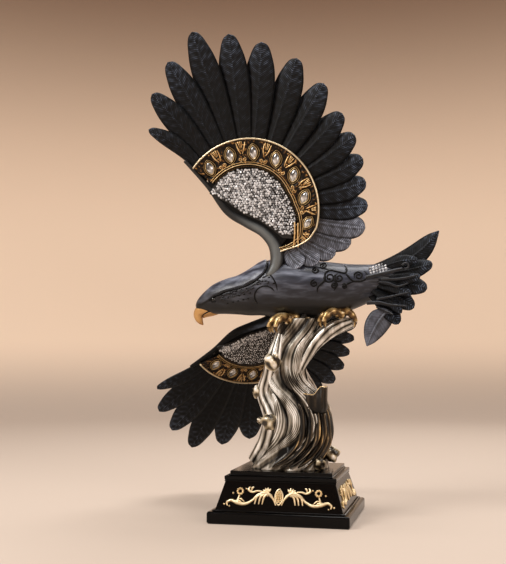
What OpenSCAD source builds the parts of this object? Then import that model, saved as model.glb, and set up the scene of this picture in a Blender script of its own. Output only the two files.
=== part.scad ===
// Table-top eagle statuette with raised and lowered wings, on a twisted stump and a plinth.
// Millimetres. +Z up, +X from the head towards the tail, origin under the centre of the plinth.

/* [Plinth] */
// Width of the plinth's foot
plinth_w = 130; // [120:1:150]
// Depth of the plinth's foot
plinth_d = 118; // [110:1:140]
// Thickness of the felt pad
felt_t = 1; // [0.5:0.5:2]
// Height of the top of the foot slab
slab_top = 11; // [10:0.5:13]
// Height of the top of the sloping body
slope_top = 37.6; // [34:0.2:38]
// Height of the top of the cornice
cornice_top = 41.8; // [40:0.2:43]
// Height of the whole plinth
plinth_top = 46; // [45:0.5:50]

/* [Stump] */
// Height of the stump above the plinth
stump_h = 141; // [138:1:144]
// How deep the flutes are, as a part of the trunk's radius
flute_depth = 0.07; // [0.02:0.01:0.1]

/* [Bird] */
// Outer diameter of each eye
eye_d = 5; // [4:0.5:6]
// Diameter of the steel rods
rod_d = 8; // [6:0.5:9]

/* [Wings] */
// Size of the raised wing against the pattern
raised_scale = 0.98; // [0.95:0.01:1]
// How far the raised wing leans outwards, in degrees
raised_lean = 7; // [4:1:10]
// Size of the lowered wing against the pattern
lowered_scale = 0.91; // [0.88:0.01:0.94]
// How far the lowered wing swings out from the upright, in degrees
lowered_swing = 41.7; // [38:0.1:46]
// How far the lowered wing sweeps back, in degrees
lowered_sweep = 23.5; // [18:0.5:28]
// Thickness of the stack of feathers
feather_stack = 9; // [7:0.5:11]
// Length of each large stone
stone_l = 12; // [10:0.5:13]
// Width of each large stone
stone_w = 6.4; // [5:0.2:7]
// Spacing of the small stones in CAD
pave_pitch = 4.6; // [4:0.2:6]

/* [Hidden] */

$fn = 48;
slack = 0.05;          // clearance round a rod
far = 400;             // longer than anything that is cut

// Plinth
slope_in_low = 6;      // inset of the sloping body at its foot
slope_in_high = 14.2;  // inset of the sloping body at its top
cornice_in = 13.2;
cap_in = 17.6;
slope_h = slope_top - slab_top;
slope_a = atan((slope_in_high - slope_in_low) / slope_h);
relief = 1.4;          // how far the gold scrolls stand out

// Fastening of the stump
recess_r = 11;
washer_r = 8;
washer_t = 1.6;
nut_r = 7.5;
nut_h = 6.5;
stud_top = plinth_top + 28;

// Wing pattern, in its own plane: x towards the tail, y away from the body, z to the front
fan_c = [-35, 52];     // centre of the jewelled fan
panel_r = 56;
band_r = 68.4;         // outer radius of the band over most of its arc
rim_w = 1.8;
bed_r = 50;
panel_t = 5;
band_t = 2.2;
band_a = [-54, 142];
wing_feathers = 18;
primary_n = 9;
stone_n = 7;
tang = [-6, 16, -14];  // left, right and depth of the tongue that enters the body

// ---------------------------------------------------------------- general tools

// A point at radius r and angle a round c
function polar(c, r, a) = [c[0] + r * cos(a), c[1] + r * sin(a)];

// Smooth curve through the points p, with k steps between neighbours
function spline(p, k) = [
    for (i = [0 : len(p) - 2], j = [0 : k - (i == len(p) - 2 ? 0 : 1)])
        let (t = j / k,
             a = p[max(i - 1, 0)], b = p[i], c = p[i + 1], d = p[min(i + 2, len(p) - 1)])
        0.5 * (2 * b + (c - a) * t + (2 * a - 5 * b + 4 * c - d) * t * t
               + (3 * b - a - 3 * c + d) * t * t * t)
];

function unit(v) = v / norm(v);

// Direction of the curve p at its point i
function heading(p, i) = unit(p[min(i + 1, len(p) - 1)] - p[max(i - 1, 0)]);

// Closed skin over rings that each have the same number of points
module loft(rings) {
    n = len(rings[0]);
    m = len(rings);
    sides = [
        for (i = [0 : m - 2], j = [0 : n - 1], half = [0, 1])
            let (k = (j + 1) % n)
            half == 0 ? [i * n + j, i * n + k, (i + 1) * n + k]
                      : [i * n + j, (i + 1) * n + k, (i + 1) * n + j]
    ];
    first = [for (j = [1 : n - 2]) [0, j + 1, j]];
    last = [for (j = [1 : n - 2]) [(m - 1) * n, (m - 1) * n + j, (m - 1) * n + j + 1]];
    polyhedron(points = [for (r = rings) each r], faces = concat(first, sides, last));
}

// Round rod that follows the control points p = [x, y, z, radius], flattened by flat across ref
module rod(p, ref = [0, 1, 0], n = 10, k = 3, flat = 1) {
    c = spline(p, k);
    q = [for (v = c) [v[0], v[1], v[2]]];
    loft([
        for (i = [0 : len(q) - 1])
            let (t = heading(q, i), b = unit(cross(ref, t)), s = cross(t, b))
            [for (j = [0 : n - 1]) q[i] - c[i][3] * (b * cos(360 * j / n) - s * flat * sin(360 * j / n))]
    ]);
}

// Flat ring sector
module sector(c, r_in, r_out, a0, a1, steps = 16) {
    polygon(concat(
        [for (i = [0 : steps]) polar(c, r_out, a0 + (a1 - a0) * i / steps)],
        [for (i = [steps : -1 : 0]) polar(c, r_in, a0 + (a1 - a0) * i / steps)]));
}

// Pointed oval, l long and w wide
function oval(l, w, steps = 8) = [
    for (side = [0, 1], i = [0 : steps - 1])
        let (t = i / steps)
        [(side == 0 ? 1 : -1) * w / 2 * pow(sin(180 * t), 1.6), (side == 0 ? -1 : 1) * l / 2 * cos(180 * t)]
];

// ---------------------------------------------------------------- plinth

// Block with sloping sides, given by the inset of its foot and its top
module frustum(in0, in1, z0, z1) {
    intersection() {
        rotate([90, 0, 0]) linear_extrude(far, center = true) polygon([
            [-plinth_w / 2 + in0, z0], [plinth_w / 2 - in0, z0],
            [plinth_w / 2 - in1, z1], [-plinth_w / 2 + in1, z1]]);
        rotate([90, 0, 90]) linear_extrude(far, center = true) polygon([
            [-plinth_d / 2 + in0, z0], [plinth_d / 2 - in0, z0],
            [plinth_d / 2 - in1, z1], [-plinth_d / 2 + in1, z1]]);
    }
}

module stud_bore() {
    translate([0, 0, -1]) cylinder(h = far, r = rod_d / 2 + slack);
}

module base_felt() {
    color("dimgray") translate([-plinth_w / 2 + 1, -plinth_d / 2 + 1, 0])
        cube([plinth_w - 2, plinth_d - 2, felt_t]);
}

module plinth_slab() {
    edge = 1.2;
    color("black") difference() {
        union() {
            frustum(0, 0, felt_t, slab_top - edge);
            frustum(0, edge, slab_top - edge, slab_top);
        }
        translate([0, 0, -1]) cylinder(h = far, r = recess_r);
    }
}

module plinth_body() {
    color("black") difference() {
        frustum(slope_in_low, slope_in_high, slab_top, slope_top);
        stud_bore();
    }
}

module plinth_cornice() {
    edge = 1;
    color("black") difference() {
        union() {
            frustum(cornice_in + edge, cornice_in, slope_top, slope_top + edge);
            frustum(cornice_in, cornice_in, slope_top + edge, cornice_top);
        }
        stud_bore();
    }
}

module plinth_cap() {
    color("black") difference() {
        frustum(cap_in, cap_in, cornice_top, plinth_top);
        stud_bore();
    }
}

// Flat stroke along the control points p = [x, y, half width]
module stroke(p) {
    c = spline(p, 3);
    q = [for (v = c) [v[0], v[1]]];
    n = len(q) - 1;
    side = [for (i = [0 : n]) let (d = heading(q, i)) c[i][2] * [-d[1], d[0]]];
    polygon(concat([for (i = [0 : n]) q[i] + side[i]], [for (i = [n : -1 : 0]) q[i] - side[i]]));
}

// Right half of the scrollwork on one side
module scroll_half() {
    stroke([[2.6, -7.4, 0.7], [5.6, -1, 1.2], [12, 3.6, 1.5], [19.4, 1.6, 1.2], [24.6, -3.6, 1.2],
            [31, -6.8, 1.8], [38, -6.2, 1.9], [44, -4, 1.4], [47.8, -6, 1.1], [47.2, -9, 0.6]]);
    for (v = [[9, 13.4, 15.2], [11, 16.6, 18.4], [13, 20, 22]])
        stroke([[v[0] - 3, 0.6, 0.5], [v[0], 2.6, 1], [v[1], 0.2, 1.1], [v[2], -6.8, 0.5]]);
    stroke([[11, 3.6, 0.8], [19.4, 5.2, 0.9], [24.6, 4, 1], [28.4, 6, 1.2], [27, 8.8, 0.5]]);
    stroke([[10, 3.4, 0.6], [10.4, 6.4, 1.6], [12.6, 9.2, 0.5]]);
    stroke([[38.4, -6, 1.6], [37.4, -1.6, 0.9], [36.4, 1.6, 0.8]]);
    translate([36, 4.4]) difference() {
        circle(r = 3.5, $fn = 20);
        circle(r = 1.3, $fn = 12);
    }
    translate([42.6, 2.6]) circle(r = 1, $fn = 12);
    translate([50.4, -7.6]) circle(r = 1, $fn = 12);
}

// Scrollwork on side k: 0 front, 1 right, 2 back, 3 left
module scroll(k) {
    depth = k % 2 == 0 ? plinth_d : plinth_w;
    s = k % 2 == 0 ? 1 : 0.88;
    color("goldenrod") rotate([0, 0, 90 * k])
        translate([0, -depth / 2 + (slope_in_low + slope_in_high) / 2, slab_top + slope_h / 2])
        rotate([90 - slope_a, 0, 0]) linear_extrude(relief) {
            for (k = [0, 1]) mirror([k, 0]) scale([s, 1]) scroll_half();
            translate([0, 0.2]) polygon(oval(15.6, 8));
        }
}

module front_scroll() { scroll(0); }
module right_scroll() { scroll(1); }
module back_scroll() { scroll(2); }
module left_scroll() { scroll(3); }

module base_stud() {
    z0 = slab_top - washer_t - nut_h - 0.6;
    color("silver") translate([0, 0, z0]) cylinder(h = stud_top - z0, r = rod_d / 2);
}

module base_washer() {
    color("silver") translate([0, 0, slab_top - washer_t]) difference() {
        cylinder(h = washer_t, r = washer_r);
        translate([0, 0, -1]) cylinder(h = 4, r = rod_d / 2 + slack);
    }
}

module base_nut() {
    color("silver") translate([0, 0, slab_top - washer_t - nut_h]) difference() {
        cylinder(h = nut_h, r = nut_r, $fn = 6);
        translate([0, 0, -1]) cylinder(h = nut_h + 2, r = rod_d / 2 + slack);
    }
}

// ---------------------------------------------------------------- stump

// Height, centre x, centre y, half width and half depth of the trunk
trunk = [
    [0, 1, 0, 36, 34], [5, 2, 0, 34, 33], [14, 5, 0, 31, 30], [26, 9, -1, 29.5, 28],
    [40, 10, -1, 28.5, 27], [56, 8, 0, 28, 25], [66, 5, 0, 26, 23], [76, -1, 0, 22, 21],
    [86, -4, 0, 19, 19], [100, -3, 0, 18, 17], [116, 1, 0, 17, 16], [130, 8, 0, 18, 14],
    [stump_h, 12, 0, 17, 13]
];

// How far the flutes have wound round the trunk at each height, in degrees
flute_turn = [[0, -52], [12, -30], [30, 4], [46, 12], [64, 2], [84, -16], [104, -24], [124, -10], [141, 8]];

// Strands that stand off the trunk, as [x, y, height, radius]
perch_line = [[62, -3, 137, 5.5], [50, -2, 134, 7], [36, 0, 127, 7.5], [24, -2, 116, 7],
    [14, -6, 100, 6], [6, -12, 82, 4]];
left_line = [[-6, -12, 126, 4], [-11, -15, 104, 7.5], [-17, -13, 86, 6.5], [-22, -11, 70, 7],
    [-14, -17, 48, 8], [-18, -19, 26, 8], [-31, -13, 8, 7.5]];
rear_line = [[12, 10, 128, 5], [6, 14, 98, 6.5], [20, 19, 66, 7], [29, 19, 34, 7], [35, 21, 6, 6]];

// Knobs where side branches broke off, as [x, y, height, radius]
knots = [[-12, -19, 100, 7.6], [-27, -11, 71, 6.2], [-14, -22, 43, 7.8], [42, -6, 13, 6.5], [33, -22, 6, 5]];

module trunk_core() {
    n = 45;
    flutes = 15;
    loft([
        for (v = spline(trunk, 2))
            [for (j = [0 : n - 1])
                let (a = 360 * j / n,
                     f = 1 + flute_depth * cos(flutes * (a - lookup(v[0], flute_turn))))
                [v[1] + v[3] * f * cos(a), v[2] + v[4] * f * sin(a), v[0]]]
    ]);
}

module on_plinth() { translate([0, 0, plinth_top]) children(); }

module stump() {
    color("silver") difference() {
        on_plinth() trunk_core();
        translate([0, 0, plinth_top - 1]) cylinder(h = stud_top - plinth_top + 2, r = rod_d / 2 + slack);
        translate([perch_x, 0, perch_z0 - 0.5]) cylinder(h = far, r = rod_d / 2 + slack);
        translate([stub_x, stub_y, stub_top - 12]) cylinder(h = 60, r = stub_r);
    }
}

module perch_arm() { color("silver") on_plinth() rod(perch_line); }
module left_strand() { color("silver") on_plinth() rod(left_line); }
module rear_strand() { color("silver") on_plinth() rod(rear_line); }

module stump_knots() {
    color("wheat") on_plinth() for (k = knots) translate([k[0], k[1], k[2]]) sphere(r = k[3]);
}

stub_x = 26;
stub_y = -12;
stub_top = 115;
stub_r = 13;
stub_wall = 2.4;

// Broken side branch with a raised lip, set in a seat in the stump
module stump_stub() {
    color("darkgoldenrod") translate([stub_x, stub_y, stub_top - 12]) difference() {
        union() {
            cylinder(h = 12, r = stub_r);
            intersection() {
                cylinder(h = 20, r = stub_r);
                translate([stub_r * 0.35, -far / 2, 0]) cube([far, far, far]);
            }
        }
        translate([0, 0, 7]) cylinder(h = 20, r = stub_r - stub_wall);
    }
}

// Thin tendril that curls off the perch arm
module stump_curl() {
    stem = [[10, -10, 128, 2.4], [16, -10, 142, 2.4], [20, -8, 151, 2.2], [26, -7, 158, 1.9]];
    turn = [for (a = [0 : 30 : 300])
        [32.5 + 4.5 * cos(100 - a), -7, 155 + 4.5 * sin(100 - a), 1.6 - a / 400]];
    color("silver") rod(concat(stem, turn), k = 2, n = 8);
}

perch_x = 9;
perch_z0 = 160;
perch_z1 = 208;

module perch_rod() {
    color("gray") translate([perch_x, 0, perch_z0]) cylinder(h = perch_z1 - perch_z0, r = rod_d / 2);
}

// ---------------------------------------------------------------- bird

// x, centre height, half height and half width of the head and body
head_rows = [
    [-92.5, 200, 2.5, 3], [-90.5, 201, 5, 6], [-84, 203.8, 9.3, 9], [-74.5, 206.4, 14.1, 12.5],
    [-62, 208.8, 16.8, 16], [-50, 210.2, 18.8, 19], [-38, 212.8, 22.4, 22]
];
body_rows = [
    [-38, 212.8, 22.4, 22], [-28, 215.7, 25.3, 24], [-14, 217, 28, 26], [0, 216.7, 28.4, 27],
    [20, 215.5, 27.3, 26.5], [40, 215.3, 25.5, 24], [60, 216.5, 22, 20], [78, 220, 17.8, 15],
    [92, 224.5, 13, 10], [102, 228, 7, 5]
];

module egg(rows, n = 28, k = 3) {
    loft([
        for (v = spline(rows, k))
            [for (j = [0 : n - 1])
                let (a = -360 * j / n)
                [v[0], v[3] * cos(a), v[1] - v[2] * sin(a)]]
    ]);
}

// Point on the front flank of the body at x and z
function on_flank(x, z) =
    let (c = lookup(x, [for (v = body_rows) [v[0], v[1]]]),
         h = lookup(x, [for (v = body_rows) [v[0], v[2]]]),
         w = lookup(x, [for (v = body_rows) [v[0], v[3]]]))
    [x, -w * sqrt(max(0, 1 - pow((z - c) / h, 2))), z];

module body() {
    color("darkslategray") difference() {
        egg(body_rows);
        translate([perch_x, 0, 150]) cylinder(h = perch_z1 + 0.5 - 150, r = rod_d / 2 + slack);
        place_raised() tang_pocket();
        place_lowered() tang_pocket();
    }
}

module head() {
    color("darkslategray") egg(head_rows);
}

module upper_beak() {
    line = [[-78, 0, 197.6, 5.2], [-86, 0, 197, 5.4], [-90.4, 0, 193.6, 4.8], [-90.6, 0, 189.4, 3.8],
        [-88.4, 0, 185.2, 2.6], [-85.4, 0, 181.6, 0.6]];
    color("goldenrod") rod(line, flat = 0.95, k = 4, n = 12);
}

module lower_beak() {
    line = [[-70, 0, 193.4, 2], [-76, 0, 192.4, 2.8], [-82, 0, 190.8, 2.2], [-85.6, 0, 188.4, 0.7]];
    color("goldenrod") rod(line, flat = 0.8, k = 4, n = 12);
}

module eyes() {
    color("black") for (s = [-1, 1]) translate([-71.6, s * 12.2, 205.6]) sphere(d = eye_d, $fn = 24);
}

// One foot with three front toes and one back toe: p is the ankle, turn spreads it
module foot(p, turn) {
    toes = [[-158, 16], [-186, 18], [-214, 15], [-10, 13]];
    color("goldenrod") translate(p) rotate([0, 0, turn]) resize([0, 0, 17]) union() {
        translate([0, 0, 2]) sphere(r = 6, $fn = 16);
        for (t = toes) rotate([0, 0, t[0]])
            rod([[0, 0, 3, 3.6], [t[1] * 0.5, 0, 5, 3.4], [t[1] * 0.9, 0, 0, 3],
                 [t[1] * 1.1, 0, -6, 1.8], [t[1] * 1.05, 0, -10, 0.4]], n = 8, k = 2);
    }
}

module left_foot() { foot([2, -11, 184], 35); }
module right_foot() { foot([51, -8, 189], 15); }

// One tail feather from point a to point b, w wide, tilted by roll degrees about its length
module tail_blade(a, b, w, roll, bend = 4) {
    d = unit(b - a);
    up = unit(cross(d, [0, 1, 0]));
    side = cross(up, d);
    wide = up * cos(roll) + side * sin(roll);
    thick = cross(d, wide);
    outline = [[0, 0.3], [0.2, 0.62], [0.45, 0.9], [0.68, 1], [0.84, 0.82], [0.95, 0.45], [1, 0.08]];
    loft([
        for (o = outline)
            let (c = a + (b - a) * o[0] + up * (bend * sin(180 * o[0])), h = w / 2 * o[1])
            [for (j = [0 : 7])
                c + wide * (h * cos(45 * j)) + thick * (1.6 * sin(45 * j))]
    ]);
}

module tail_feather_top() { color("black") tail_blade([84, 3, 233], [143, 8, 269], 25, 12, -5); }
module tail_feather_high() { color("black") tail_blade([84, -1, 228], [137, -2, 237], 19, 16, -2); }
module tail_feather_mid() { color("black") tail_blade([83, -4, 222], [132, -7, 214], 21, 20, 1); }
module tail_feather_low() { color("black") tail_blade([81, -6, 216], [120, -11, 196], 20, 24, 2); }
module tail_feather_end() { color("black") tail_blade([79, -6, 212], [106, -14, 181], 18, 28, 2); }
module tail_leaf() { color("slategray") tail_blade([97, -13, 193], [77, -19, 161], 22, 8, -2); }

module tail_beads() {
    color("silver") for (i = [0 : 4], j = [0 : 1])
        translate(on_flank(80 + 3.2 * i, 230.4 + 1.1 * i - 3.1 * j)) sphere(d = 3, $fn = 16);
}

// ---------------------------------------------------------------- wings

module place_raised() {
    translate([0, -14, 240]) rotate([90 + raised_lean, 0, 0]) scale(raised_scale) children();
}

module place_lowered() {
    translate([-1, 21, 207]) rotate([lowered_swing, 1.7, lowered_sweep])
        mirror([0, 0, 1]) rotate([90, 0, 0]) scale(lowered_scale) children();
}

// Spine of the leading edge, from the wrist to the shoulder, with its radius
edge_line = [
    [-99, 103, 0, 2], [-76, 77, 0, 2.6], [-57, 52, 0, 4], [-38, 40, 0, 4.8],
    [-22, 31, 0, 5.4], [-12, 20, 0, 6.2], [-8, 8, 1, 7], [-9, -3, 4, 6.4], [-14, -11, 8, 4.6],
    [-22, -16, 10, 2]
];

// Tip radius and angle of feather i round the fan's centre, and its half width
function tip_radius(i) = lookup(i, [[0, 130], [1, 151], [3, 182], [4, 171], [6, 152], [8, 129],
                                    [11, 117], [13, 115], [17, 76]]);
function tip_angle(i) = lookup(i, [[0, 140], [5, 83.6], [8, 43.4], [13, -10.5], [17, -46.6]]);
function half_width(i) = lookup(i, [[0, 12], [1, 14.5], [5, 16.5], [8, 14.4], [13, 12.6], [17, 9.6]]);
// Curve of the wing towards its front side, at radius r
function camber(r) = 10 * pow(max(r - panel_r, 0) / 126, 2);

// Outer and inner edge of the jewelled band at angle a, which hooks in under the field of stones
function band_out(a) = lookup(a, [[-54, 50], [-46, 53], [-38, 58], [-27, 65], [-16, band_r],
                                  [141, band_r]]);
function band_in(a) = lookup(a, [[-54, 46], [-40, 52], [-28, 56], [-12, 51], [5, 45.5], [22, 43],
                                 [141, 44]]);
band_steps = 39;
function band_angle(i) = band_a[0] + (band_a[1] - band_a[0]) * i / band_steps;

module feather(i) {
    outline = [[0, 0.55], [0.3, 0.8], [0.5, 0.93], [0.66, 0.97], [0.79, 0.87], [0.89, 0.65],
               [0.96, 0.42], [1, 0.1]];
    a = tip_angle(i);
    r0 = panel_r + 0.3;
    along = [cos(a), sin(a), 0];
    across = [-sin(a), cos(a), 0];
    layer = 0.4 * (i % 2) - 0.5;
    loft([
        for (o = outline)
            let (r = r0 + (tip_radius(i) - r0) * o[0],
                 c = [fan_c[0], fan_c[1], layer + camber(r)] + along * r,
                 h = half_width(i) * o[1])
            [for (j = [0 : 5])
                c - across * (h * cos(60 * j)) + [0, 0, 1.7 * sin(60 * j)]]
    ]);
}

module feathers(first, last) {
    color("#22262b") resize([0, 0, feather_stack]) union() {
        for (i = [first : last]) feather(i);
    }
}

module tang_pocket() {
    play = 0.2;
    translate([tang[0] - play, tang[2] - play, -panel_t / 2 - play])
        cube([tang[1] - tang[0] + 2 * play, 60, panel_t + 2 * play]);
    translate([pin_x, -pin_in - play, 0]) rotate([-90, 0, 0]) cylinder(h = 40, r = pin_r + slack);
}

pin_x = 6;
pin_r = 2;
pin_in = 24;
pin_out = 14;

// Flat carrier plate inside the fan, with the tongue that enters the body
module panel() {
    steps = 24;
    a0 = -38;
    a1 = 139;
    edge = [for (i = [1 : 6]) [edge_line[i][0] + 1.4, edge_line[i][1] + 1.2]];
    color("#1c1f24") difference() {
        translate([0, 0, -panel_t / 2]) linear_extrude(panel_t) polygon(concat(
            [for (i = [0 : steps]) polar(fan_c, panel_r, a0 + (a1 - a0) * i / steps)],
            edge,
            [[tang[0], -1], [tang[0], tang[2]], [tang[1], tang[2]], [tang[1], -1]]));
        translate([pin_x, -pin_in, 0]) rotate([-90, 0, 0]) cylinder(h = pin_in + pin_out, r = pin_r + slack);
    }
}

module leading_edge() {
    color("#3a4048") rod(edge_line, ref = [0, 0, 1], n = 12, k = 3);
}

// Flat strip between two radii that follow the band's angle
module strip(r_in, r_out) {
    polygon(concat(
        [for (i = [0 : band_steps]) polar(fan_c, r_out[i], band_angle(i))],
        [for (i = [band_steps : -1 : 0]) polar(fan_c, r_in[i], band_angle(i))]));
}

outer_edge = [for (i = [0 : band_steps]) band_out(band_angle(i))];
inner_edge = [for (i = [0 : band_steps]) band_in(band_angle(i))];
rim_step = [for (i = [0 : band_steps]) rim_w];

module band() {
    color("saddlebrown") translate([0, 0, panel_t / 2]) linear_extrude(band_t)
        strip(inner_edge + rim_step, outer_edge);
}

module outer_rim() {
    color("gold") translate([0, 0, panel_t / 2]) linear_extrude(band_t + 1.2)
        strip(outer_edge, outer_edge + rim_step);
}

module inner_rim() {
    color("gold") translate([0, 0, panel_t / 2]) linear_extrude(band_t + 1.2)
        strip(inner_edge, inner_edge + rim_step);
}

// Angle of large stone i, and the radius of its centre
function stone_a(i) = 131.5 - 24.2 * i;
function stone_r(i) = (band_in(stone_a(i)) + rim_w + band_out(stone_a(i))) / 2 - 0.8;

module at_stones(first = 0) {
    for (i = [first : stone_n - 1])
        translate([for (v = polar(fan_c, stone_r(i), stone_a(i))) v])
            rotate([0, 0, 0.4 * stone_a(i) - 30]) scale(i == stone_n - 1 ? 0.9 : 1) children();
}

module bezels() {
    wall = 1;
    color("gold") translate([0, 0, panel_t / 2 + band_t]) at_stones()
        linear_extrude(2) difference() {
            polygon(oval(stone_l + 2 * wall + 1, stone_w + 2 * wall));
            polygon(oval(stone_l, stone_w));
        }
}

module stones() {
    color("white") translate([0, 0, panel_t / 2 + band_t]) at_stones() {
        linear_extrude(1.6) polygon(oval(stone_l, stone_w));
        translate([0, 0, 1.6]) linear_extrude(1.6, scale = 0.55) polygon(oval(stone_l, stone_w));
    }
}

// Curls between the large stones
module filigree() {
    color("gold") translate([0, 0, panel_t / 2 + band_t])
        for (i = [0 : stone_n - 2], s = [-1, 1]) {
            a = (stone_a(i) + stone_a(i + 1)) / 2;
            mid = (band_in(a) + rim_w + band_out(a)) / 2;
            gap = (band_out(a) - band_in(a) - rim_w) / 4;
            translate([for (v = polar(fan_c, mid + s * gap, a)) v])
                rotate([0, 0, a + 90 * s]) linear_extrude(1) sector([0, 0], 1.5, 2.6, -130, 130, 10);
        }
}

// Lower edge of the field of small stones
field_edge = [[-72, 68], [-56, 60], [-40, 48], [-24, 41], [-10, 31], [-2, 24], [20, 22]];

function field_points(r) = concat(
    [for (a = [-33 : 9 : 156]) polar(fan_c, min(r, band_in(a) - 1.5 - (bed_r - r)), a)],
    [for (p = field_edge) [p[0], p[1] + (bed_r - r)]]);

module pave_bed() {
    color("silver") translate([0, 0, panel_t / 2]) linear_extrude(1.4)
        intersection() {
            polygon(field_points(bed_r));
            translate([fan_c[0], fan_c[1]]) circle(r = bed_r + 4);
        }
}

// True where a small stone fits on the field
function on_field(p) =
    norm(p - fan_c) < min(bed_r, band_in(atan2(p[1] - fan_c[1], p[0] - fan_c[0]))) - 4.2
    && p[1] > 3.4 + lookup(p[0], field_edge);

module pave_stones() {
    rows = 20;
    color("white") translate([0, 0, panel_t / 2 + 1.4])
        for (i = [-rows : rows], j = [-rows : rows]) {
            p = fan_c + pave_pitch * [i + 0.5 * (j % 2), 0.866 * j];
            if (on_field(p)) translate([p[0], p[1], 0]) cylinder(h = 1.4, d = pave_pitch - 0.4, $fn = 6);
        }
}

module wing_pin() {
    color("gray") translate([pin_x, -pin_in, 0]) rotate([-90, 0, 0])
        cylinder(h = pin_in + pin_out, r = pin_r);
}

module raised_panel() { place_raised() panel(); }
module raised_primaries() { place_raised() feathers(0, primary_n - 1); }
module raised_secondaries() { place_raised() feathers(primary_n, wing_feathers - 1); }
module raised_leading_edge() { place_raised() leading_edge(); }
module raised_band() { place_raised() band(); }
module raised_outer_rim() { place_raised() outer_rim(); }
module raised_inner_rim() { place_raised() inner_rim(); }
module raised_bezels() { place_raised() bezels(); }
module raised_stones() { place_raised() stones(); }
module raised_filigree() { place_raised() filigree(); }
module raised_pave_bed() { place_raised() pave_bed(); }
module raised_pave_stones() { place_raised() pave_stones(); }
module raised_wing_pin() { place_raised() wing_pin(); }
module lowered_panel() { place_lowered() panel(); }
module lowered_primaries() { place_lowered() feathers(0, primary_n - 1); }
module lowered_secondaries() { place_lowered() feathers(primary_n, wing_feathers - 1); }
module lowered_leading_edge() { place_lowered() leading_edge(); }
module lowered_band() { place_lowered() band(); }
module lowered_outer_rim() { place_lowered() outer_rim(); }
module lowered_inner_rim() { place_lowered() inner_rim(); }
module lowered_bezels() { place_lowered() bezels(); }
module lowered_stones() { place_lowered() stones(); }
module lowered_filigree() { place_lowered() filigree(); }
module lowered_pave_bed() { place_lowered() pave_bed(); }
module lowered_pave_stones() { place_lowered() pave_stones(); }
module lowered_wing_pin() { place_lowered() wing_pin(); }

base_felt();
plinth_slab();
plinth_body();
plinth_cornice();
plinth_cap();
front_scroll();
right_scroll();
back_scroll();
left_scroll();
base_stud();
base_washer();
base_nut();
stump();
perch_arm();
left_strand();
rear_strand();
stump_knots();
stump_stub();
stump_curl();
perch_rod();
body();
head();
upper_beak();
lower_beak();
eyes();
left_foot();
right_foot();
tail_feather_top();
tail_feather_high();
tail_feather_mid();
tail_feather_low();
tail_feather_end();
tail_leaf();
tail_beads();
raised_panel();
raised_primaries();
raised_secondaries();
raised_leading_edge();
raised_band();
raised_outer_rim();
raised_inner_rim();
raised_bezels();
raised_stones();
raised_filigree();
raised_pave_bed();
raised_pave_stones();
raised_wing_pin();
lowered_panel();
lowered_primaries();
lowered_secondaries();
lowered_leading_edge();
lowered_band();
lowered_outer_rim();
lowered_inner_rim();
lowered_bezels();
lowered_stones();
lowered_filigree();
lowered_pave_bed();
lowered_pave_stones();
lowered_wing_pin();
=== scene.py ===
"""Table-top eagle statuette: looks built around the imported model.

Sizes are in millimetres in the model's own frame, with +X from the head to the tail, and every
finished piece is brought to metres when it is handed to the frame.
"""

import math
import random

import bmesh
import bpy
from bpy.props import FloatProperty, FloatVectorProperty, PointerProperty
from mathutils import Euler, Matrix, Vector, noise


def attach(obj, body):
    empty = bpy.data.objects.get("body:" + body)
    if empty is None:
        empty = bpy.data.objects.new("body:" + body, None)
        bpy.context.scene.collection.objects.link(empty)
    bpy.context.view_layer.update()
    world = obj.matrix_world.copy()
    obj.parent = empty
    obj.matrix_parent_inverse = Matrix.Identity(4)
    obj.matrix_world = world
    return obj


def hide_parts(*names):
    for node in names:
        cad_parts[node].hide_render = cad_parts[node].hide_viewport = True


bl_info = {
    "name": "Eagle statuette",
    "version": (1, 0, 0),
    "blender": (4, 5, 0),
    "location": "View3D > Sidebar > Eagle",
    "description": "Builds the finish of a jewelled eagle statuette around its packed frame",
    "category": "Object",
}

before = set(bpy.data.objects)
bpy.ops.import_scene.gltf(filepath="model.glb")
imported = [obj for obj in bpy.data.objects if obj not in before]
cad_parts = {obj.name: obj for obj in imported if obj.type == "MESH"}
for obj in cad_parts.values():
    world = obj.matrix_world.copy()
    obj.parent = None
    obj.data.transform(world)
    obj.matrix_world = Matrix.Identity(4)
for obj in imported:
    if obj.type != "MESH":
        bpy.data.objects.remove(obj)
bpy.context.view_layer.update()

BODY = "root"
MM = 0.001
MERGE = 0.01

# Wing pattern, in its own plane: x towards the tail, y away from the body, z to the front
FAN = Vector((-35, 52, 0))
PANEL_R = 56
PANEL_FACE = 2.5
BAND_R = 68.4
BAND_FACE = 4.7
BAND_ENDS = (-54, 142)
RIM_W = 1.8
# Outer and inner radius of the band at angles about the fan's centre
BAND_OUT = [(-54, 50), (-46, 53), (-38, 58), (-27, 65), (-16, BAND_R), (141, BAND_R)]
BAND_IN = [(-54, 46), (-40, 52), (-28, 56), (-12, 51), (5, 45.5), (22, 43), (141, 44)]
# Reach, direction and half width of the feathers, by their number from the wing's front edge
TIP_RADIUS = [(0, 130), (1, 151), (3, 182), (4, 171), (6, 152), (8, 129), (11, 117), (13, 115), (17, 76)]
TIP_ANGLE = [(0, 140), (5, 83.6), (8, 43.4), (13, -10.5), (17, -46.6)]
HALF_WIDTH = [(0, 8.5), (1, 13.5), (2, 15), (5, 16.5), (8, 14.4), (13, 12.6), (17, 10)]
PRIMARIES = range(0, 9)
SECONDARIES = range(9, 13)
SCAPULARS = range(13, 18)
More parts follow.
